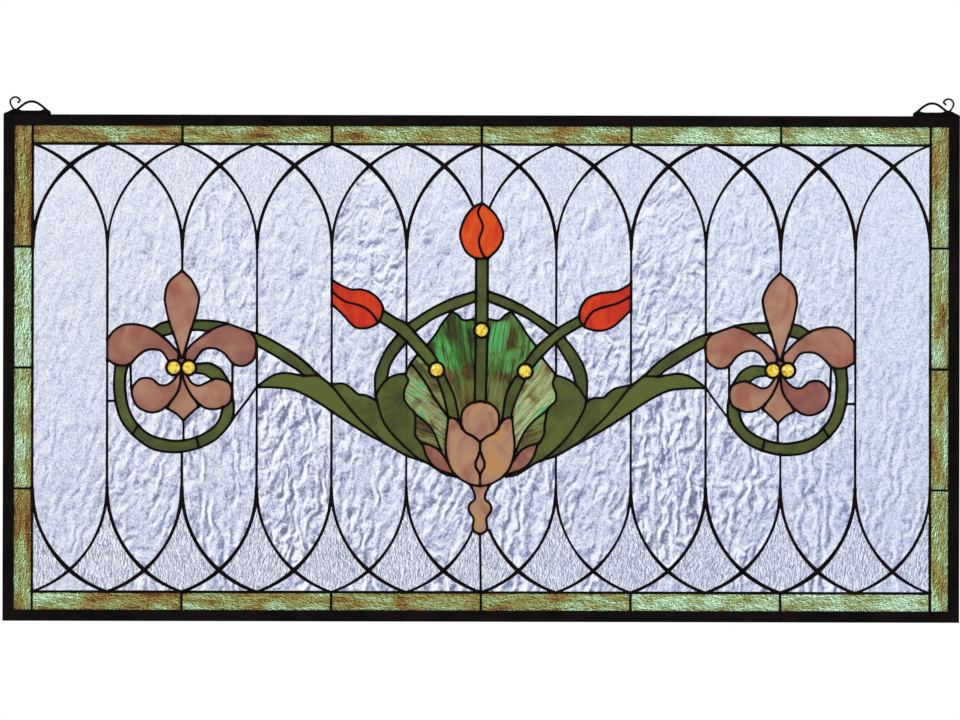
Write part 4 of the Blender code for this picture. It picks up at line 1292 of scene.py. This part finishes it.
def seam_ends():
    """A search tree of the places where seams end."""
    spots = []
    for seam in all_seams():
        if not seam.closed:
            spots += [place(*seam.points[0]), place(*seam.points[-1])]
    return search_tree(spots)


def in_both_rows(columns, height):
    """A search tree of places so far above and below the middle, counted in columns from it."""
    spots = [Vector((i * PITCH, CENTRE_Z + side * height)) for i in columns for side in (-1, 1)]
    return search_tree(spots)


def crossings():
    """A search tree of the places where the arches cross."""
    turn = math.acos(1 - PITCH / 2 / ARCH_RADIUS)
    columns = [i + 0.5 for i in range(-COLUMNS_EACH_SIDE, COLUMNS_EACH_SIDE)]
    return in_both_rows(columns, SPRING_HEIGHT + ARCH_RADIUS * math.sin(turn))


def springs():
    """A search tree of the places where the arches leave the column lines."""
    columns = range(-COLUMNS_EACH_SIDE, COLUMNS_EACH_SIDE + 1)
    return in_both_rows(columns, SPRING_HEIGHT + SPRING_REACH / 2)


def with_steps(points):
    """The points of a chain with more between them, so that no step is longer than a bead's."""
    found = []
    for a, b in zip(points, points[1:]):
        count = math.ceil((b - a).length / BEAD_STEP)
        found += [a.lerp(b, i / count) for i in range(count)]
    return found + [points[-1]]


def bead_section(width):
    """The outline of a bead as (across, y): a dome at the front and one at the back."""
    face = GLASS_THICKNESS / 2
    height = min(BEAD_HEIGHT, BEAD_STEEPNESS * width)
    outline = []
    for side in (-1, 1):
        for step in range(DOME_STEPS + 1):
            turn = math.pi * step / DOME_STEPS
            outline.append((side * width / 2 * math.cos(turn), side * (face + height * math.sin(turn))))
    return outline


def swell(point, tree, amount, reach):
    """How much wider a bead is near the closest point of a search tree."""
    near = tree.find((point.x, point.y, 0))[2]
    return amount * math.exp(-((near / reach) ** 2))


def add_bead(bm, seam, swells):
    """A bead along a seam. swells is a list of (search tree, amount, reach)."""
    points = with_steps(path_of(seam))
    if not seam.closed:
        points[0] = points[0] + (points[0] - points[1]).normalized() * seam.width * END_SHARE
        points[-1] = points[-1] + (points[-1] - points[-2]).normalized() * seam.width * END_SHARE
    rings = []
    for i, point in enumerate(points):
        before = points[i - 1] if i else (points[-2] if seam.closed else point)
        after = points[i + 1] if i + 1 < len(points) else (points[1] if seam.closed else point)
        along = (after - before).normalized()
        across = Vector((-along.y, along.x))
        flare = FOIL_LAP if seam.closed else sum(swell(point, *row) for row in swells)
        uneven = noise.noise(Vector((point.x, point.y, seam.points[0][0])) * UNEVEN_SCALE)
        uneven = 1 + uneven * (RING_UNEVEN if seam.closed else UNEVEN)
        outline = bead_section(seam.width * uneven + flare)
        ring = [point + across * u for u, y in outline]
        rings.append([bm.verts.new((p.x, y, p.y)) for p, (u, y) in zip(ring, outline)])
    add_skin(bm, rings)
    if not seam.closed:
        add_ends(bm, rings)


def add_seams(material):
    at_ends = [(seam_ends(), JOINT_FLARE, JOINT_REACH)]
    crossed = crossings()
    on_arches = [
        (crossed, CROSSING_FLARE, JOINT_REACH),
        (crossed, CROSSING_SWELL, CROSSING_REACH),
        (springs(), SPRING_SWELL, SPRING_REACH),
    ]
    middle = middle_seams() + left_flower_seams() + right_flower_seams() + symmetric_seams()
    pieces = {
        "seams_border": border_seams(),
        "seams_arches": arch_seams() + column_seams(),
        "seams_fleur_left": fleur_seams(),
        "seams_fleur_right": [seam.mirrored(GRID_X, RIGHT_FLEUR_SHIFT) for seam in fleur_seams()],
        "seams_middle": middle,
    }
    for name, seams in pieces.items():
        bm = bmesh.new()
        for seam in seams:
            add_bead(bm, seam, on_arches if name == "seams_arches" else at_ends)
        thing = link_object(name, bm, material, smooth=True)
        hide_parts("solder_seams")


def add_jewel(name, centre, material):
    """A round jewel, domed at the front, with a fine stepped rim and a flat back."""
    radius = JEWEL_RADIUS
    half = GLASS_THICKNESS / 2
    profile = [(radius * JEWEL_BACK_SHARE, half), (radius, half * JEWEL_CHAMFER_SHARE), (radius, -half)]
    for step in range(1, JEWEL_RINGS + 1):
        turn = math.pi / 2 * step / JEWEL_RINGS
        reach = radius * JEWEL_DOME_SHARE * math.cos(turn)
        profile.append((reach, -half - JEWEL_DOME * math.sin(turn)))
    bm = bmesh.new()
    rings = []
    for r, y in profile[:-1]:
        spots = [centre + r * Vector(step) for step in round_steps(JEWEL_SIDES)]
        rings.append([bm.verts.new((spot.x, y, spot.y)) for spot in spots])
    bm.faces.new(rings[0])
    add_skin(bm, rings)
    add_tip(bm, rings[-1], (centre.x, profile[-1][1], centre.y))
    thing = link_object(name + "_glass", bm, material, smooth=True)
    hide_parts(name)


def jewel_places():
    found = {"jewel_left": JEWEL_LEFT, "jewel_centre": JEWEL_CENTRE, "jewel_right": JEWEL_RIGHT}
    for name, spot in (("outer", FLEUR_JEWEL_OUTER), ("inner", FLEUR_JEWEL_INNER)):
        found["fleur_left_jewel_" + name] = spot
        found["fleur_right_jewel_" + name] = right_fleur(*spot)
    return found


def rounded(corners, radius):
    """A closed outline with rounded corners. Corners are Vectors in order."""
    found = []
    for i, corner in enumerate(corners):
        before, after = corners[i - 1], corners[(i + 1) % len(corners)]
        into = (before - corner).normalized() * radius
        out = (after - corner).normalized() * radius
        for step in range(EDGE_STEPS + 1):
            t = step / EDGE_STEPS
            found.append(corner + into * (1 - t) ** 2 + out * t**2)
    return found


def add_bar(name, length, at, turn, material):
    """A channel bar with rounded edges and mitred ends, made along X and then turned."""
    half_depth = FRAME_DEPTH / 2
    lip = half_depth - FRAME_WALL
    web = FRAME_FACE - SLOT_DEPTH
    outline = [
        (0, -half_depth), (FRAME_FACE, -half_depth), (FRAME_FACE, -lip), (web, -lip),
        (web, lip), (FRAME_FACE, lip), (FRAME_FACE, half_depth), (0, half_depth),
    ]
    outline = rounded([Vector(p) for p in outline], FRAME_WALL * EDGE_SHARE)
    bm = bmesh.new()
    ends = []
    for side in (-1, 1):
        ends.append([bm.verts.new((side * (length / 2 - z - MITRE_GAP), y, z)) for z, y in outline])
    add_skin(bm, ends)
    add_ends(bm, ends)
    bmesh.ops.rotate(bm, verts=bm.verts, matrix=Matrix.Rotation(turn, 3, "Y"))
    bmesh.ops.translate(bm, verts=bm.verts, vec=at)
    thing = link_object(name + "_bar", bm, material)
    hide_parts(name)


def add_frame(material):
    x, z = FRAME_WIDTH / 2, FRAME_HEIGHT / 2
    add_bar("frame_bottom", FRAME_WIDTH, Vector((0, 0, CENTRE_Z - z)), 0, material)
    add_bar("frame_top", FRAME_WIDTH, Vector((0, 0, CENTRE_Z + z)), math.pi, material)
    add_bar("frame_left", FRAME_HEIGHT, Vector((-x, 0, CENTRE_Z)), math.pi / 2, material)
    add_bar("frame_right", FRAME_HEIGHT, Vector((x, 0, CENTRE_Z)), -math.pi / 2, material)


def add_wire(bm, chain, first_radius, last_radius):
    """A round wire along a chain in the panel's plane, rounded off at both ends."""
    rings = []
    last = len(chain) - 1
    for i, point in enumerate(chain):
        along = (chain[min(i + 1, last)] - chain[max(i - 1, 0)]).normalized()
        across = Vector((-along.y, along.x))
        radius = first_radius + (last_radius - first_radius) * i / last
        ring = []
        for cosine, sine in round_steps(WIRE_SIDES):
            spot = point + across * radius * cosine
            ring.append(bm.verts.new((spot.x, radius * sine, spot.y)))
        rings.append(ring)
    add_skin(bm, rings)
    for ring, inner, end in ((rings[0], chain[1], chain[0]), (rings[-1], chain[-2], chain[-1])):
        tip = end + (end - inner).normalized() * last_radius * WIRE_TIP_SHARE
        add_tip(bm, ring, (tip.x, 0, tip.y))


def add_saddle(bm, spot):
    """The low mound of solder that the wires stand in."""
    chain = smooth_chain([Vector(p) for p in HANGER_SADDLE])
    rings = []
    for x, y in chain:
        ring = []
        for step in range(SADDLE_STEPS + 1):
            turn = math.pi * step / SADDLE_STEPS
            at = spot((x, max(SADDLE_LOWEST, y) * math.sin(turn) ** SADDLE_FULLNESS))
            ring.append(bm.verts.new((at.x, SADDLE_DEPTH / 2 * math.cos(turn), at.y)))
        rings.append(ring)
    add_skin(bm, rings)
    add_ends(bm, rings)


def add_hanger(name, side, material):
    foot = CENTRE_Z + FRAME_HEIGHT / 2

    def spot(point):
        x = FRAME_WIDTH / 2 - point[0] * HANGER_UNIT
        return Vector((side * x, foot + GAP + point[1] * HANGER_UNIT))

    bm = bmesh.new()
    add_wire(bm, smooth_chain([spot(p) for p in HANGER_ARCH]), ARCH_WIRE / 2, ARCH_WIRE / 2)
    add_wire(bm, smooth_chain([spot(p) for p in HANGER_CURL]), CURL_WIRE / 2, CURL_TIP / 2)
    add_saddle(bm, spot)
    thing = link_object(name + "_wire", bm, material, smooth=True)
    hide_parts(name)


def add_stage():
    """A pale round floor under the hanging panel and a white surround."""
    bm = bmesh.new()
    bmesh.ops.create_circle(bm, cap_ends=True, radius=FLOOR_RADIUS, segments=FLOOR_SIDES)
    bmesh.ops.translate(bm, verts=bm.verts, vec=(0, 0, FLOOR_Z))
    mesh = bpy.data.meshes.new("floor")
    bm.to_mesh(mesh)
    bm.free()
    floor = bpy.data.objects.new("floor", mesh)
    bpy.context.scene.collection.objects.link(floor)
    material, _, shader = new_material("pale_floor", 0.8)
    shader.inputs["Base Color"].default_value = FLOOR_COLOUR
    mesh.materials.append(material)
    world = bpy.data.worlds.new("surround")
    world.use_nodes = True
    background = world.node_tree.nodes["Background"].inputs
    background["Color"].default_value = WHITE
    background["Strength"].default_value = 1.0
    bpy.context.scene.world = world


def add_light(name, place_at, size, energy):
    light = bpy.data.lights.new(name, "AREA")
    light.size = size
    light.energy = energy
    thing = bpy.data.objects.new(name, light)
    thing.location = place_at
    aim = Vector((0, 0, CENTRE_Z)) - thing.location
    thing.rotation_euler = aim.to_track_quat("-Z", "Y").to_euler()
    bpy.context.scene.collection.objects.link(thing)


def add_camera():
    data = bpy.data.cameras.new("camera")
    width_seen = IMAGE_WIDTH * UNIT
    data.sensor_width = CAMERA_SENSOR_MM
    data.lens = data.sensor_width * CAMERA_DISTANCE / width_seen
    data.clip_end = CAMERA_FAR
    camera = bpy.data.objects.new("camera", data)
    x, z = CAMERA_AIM[0] * UNIT, CENTRE_Z + CAMERA_AIM[1] * UNIT
    turned = Matrix.Rotation(math.pi / 2, 4, "X") @ Matrix.Rotation(CAMERA_ROLL, 4, "Z")
    camera.matrix_world = Matrix.Translation((x, -CAMERA_DISTANCE, z)) @ turned
    bpy.context.scene.collection.objects.link(camera)
    bpy.context.scene.camera = camera


def main():
    materials = {
        "rippled": rippled_clear(),
        "granite": granite_clear(),
        "border": border_streaky(),
        "olive": olive_opal(),
        "mauve": mauve_opal(),
        "orange": orange_opal(),
        "fan": fan_streaky(),
        "peach": peach_opal(),
    }
    add_glass(materials)
    add_seams(dark_patina("solder_patina", SOLDER_WORN))
    jewel = jewel_glass()
    for name, point in jewel_places().items():
        add_jewel(name, place(*point), jewel)
    metal = dark_patina("frame_patina", FRAME_WORN)
    add_frame(metal)
    add_hanger("hanger_left", -1, metal)
    add_hanger("hanger_right", 1, metal)
    add_stage()
    for light in LIGHTS:
        add_light(*light)
    add_camera()
    bpy.context.scene.view_settings.view_transform = "Standard"


main()
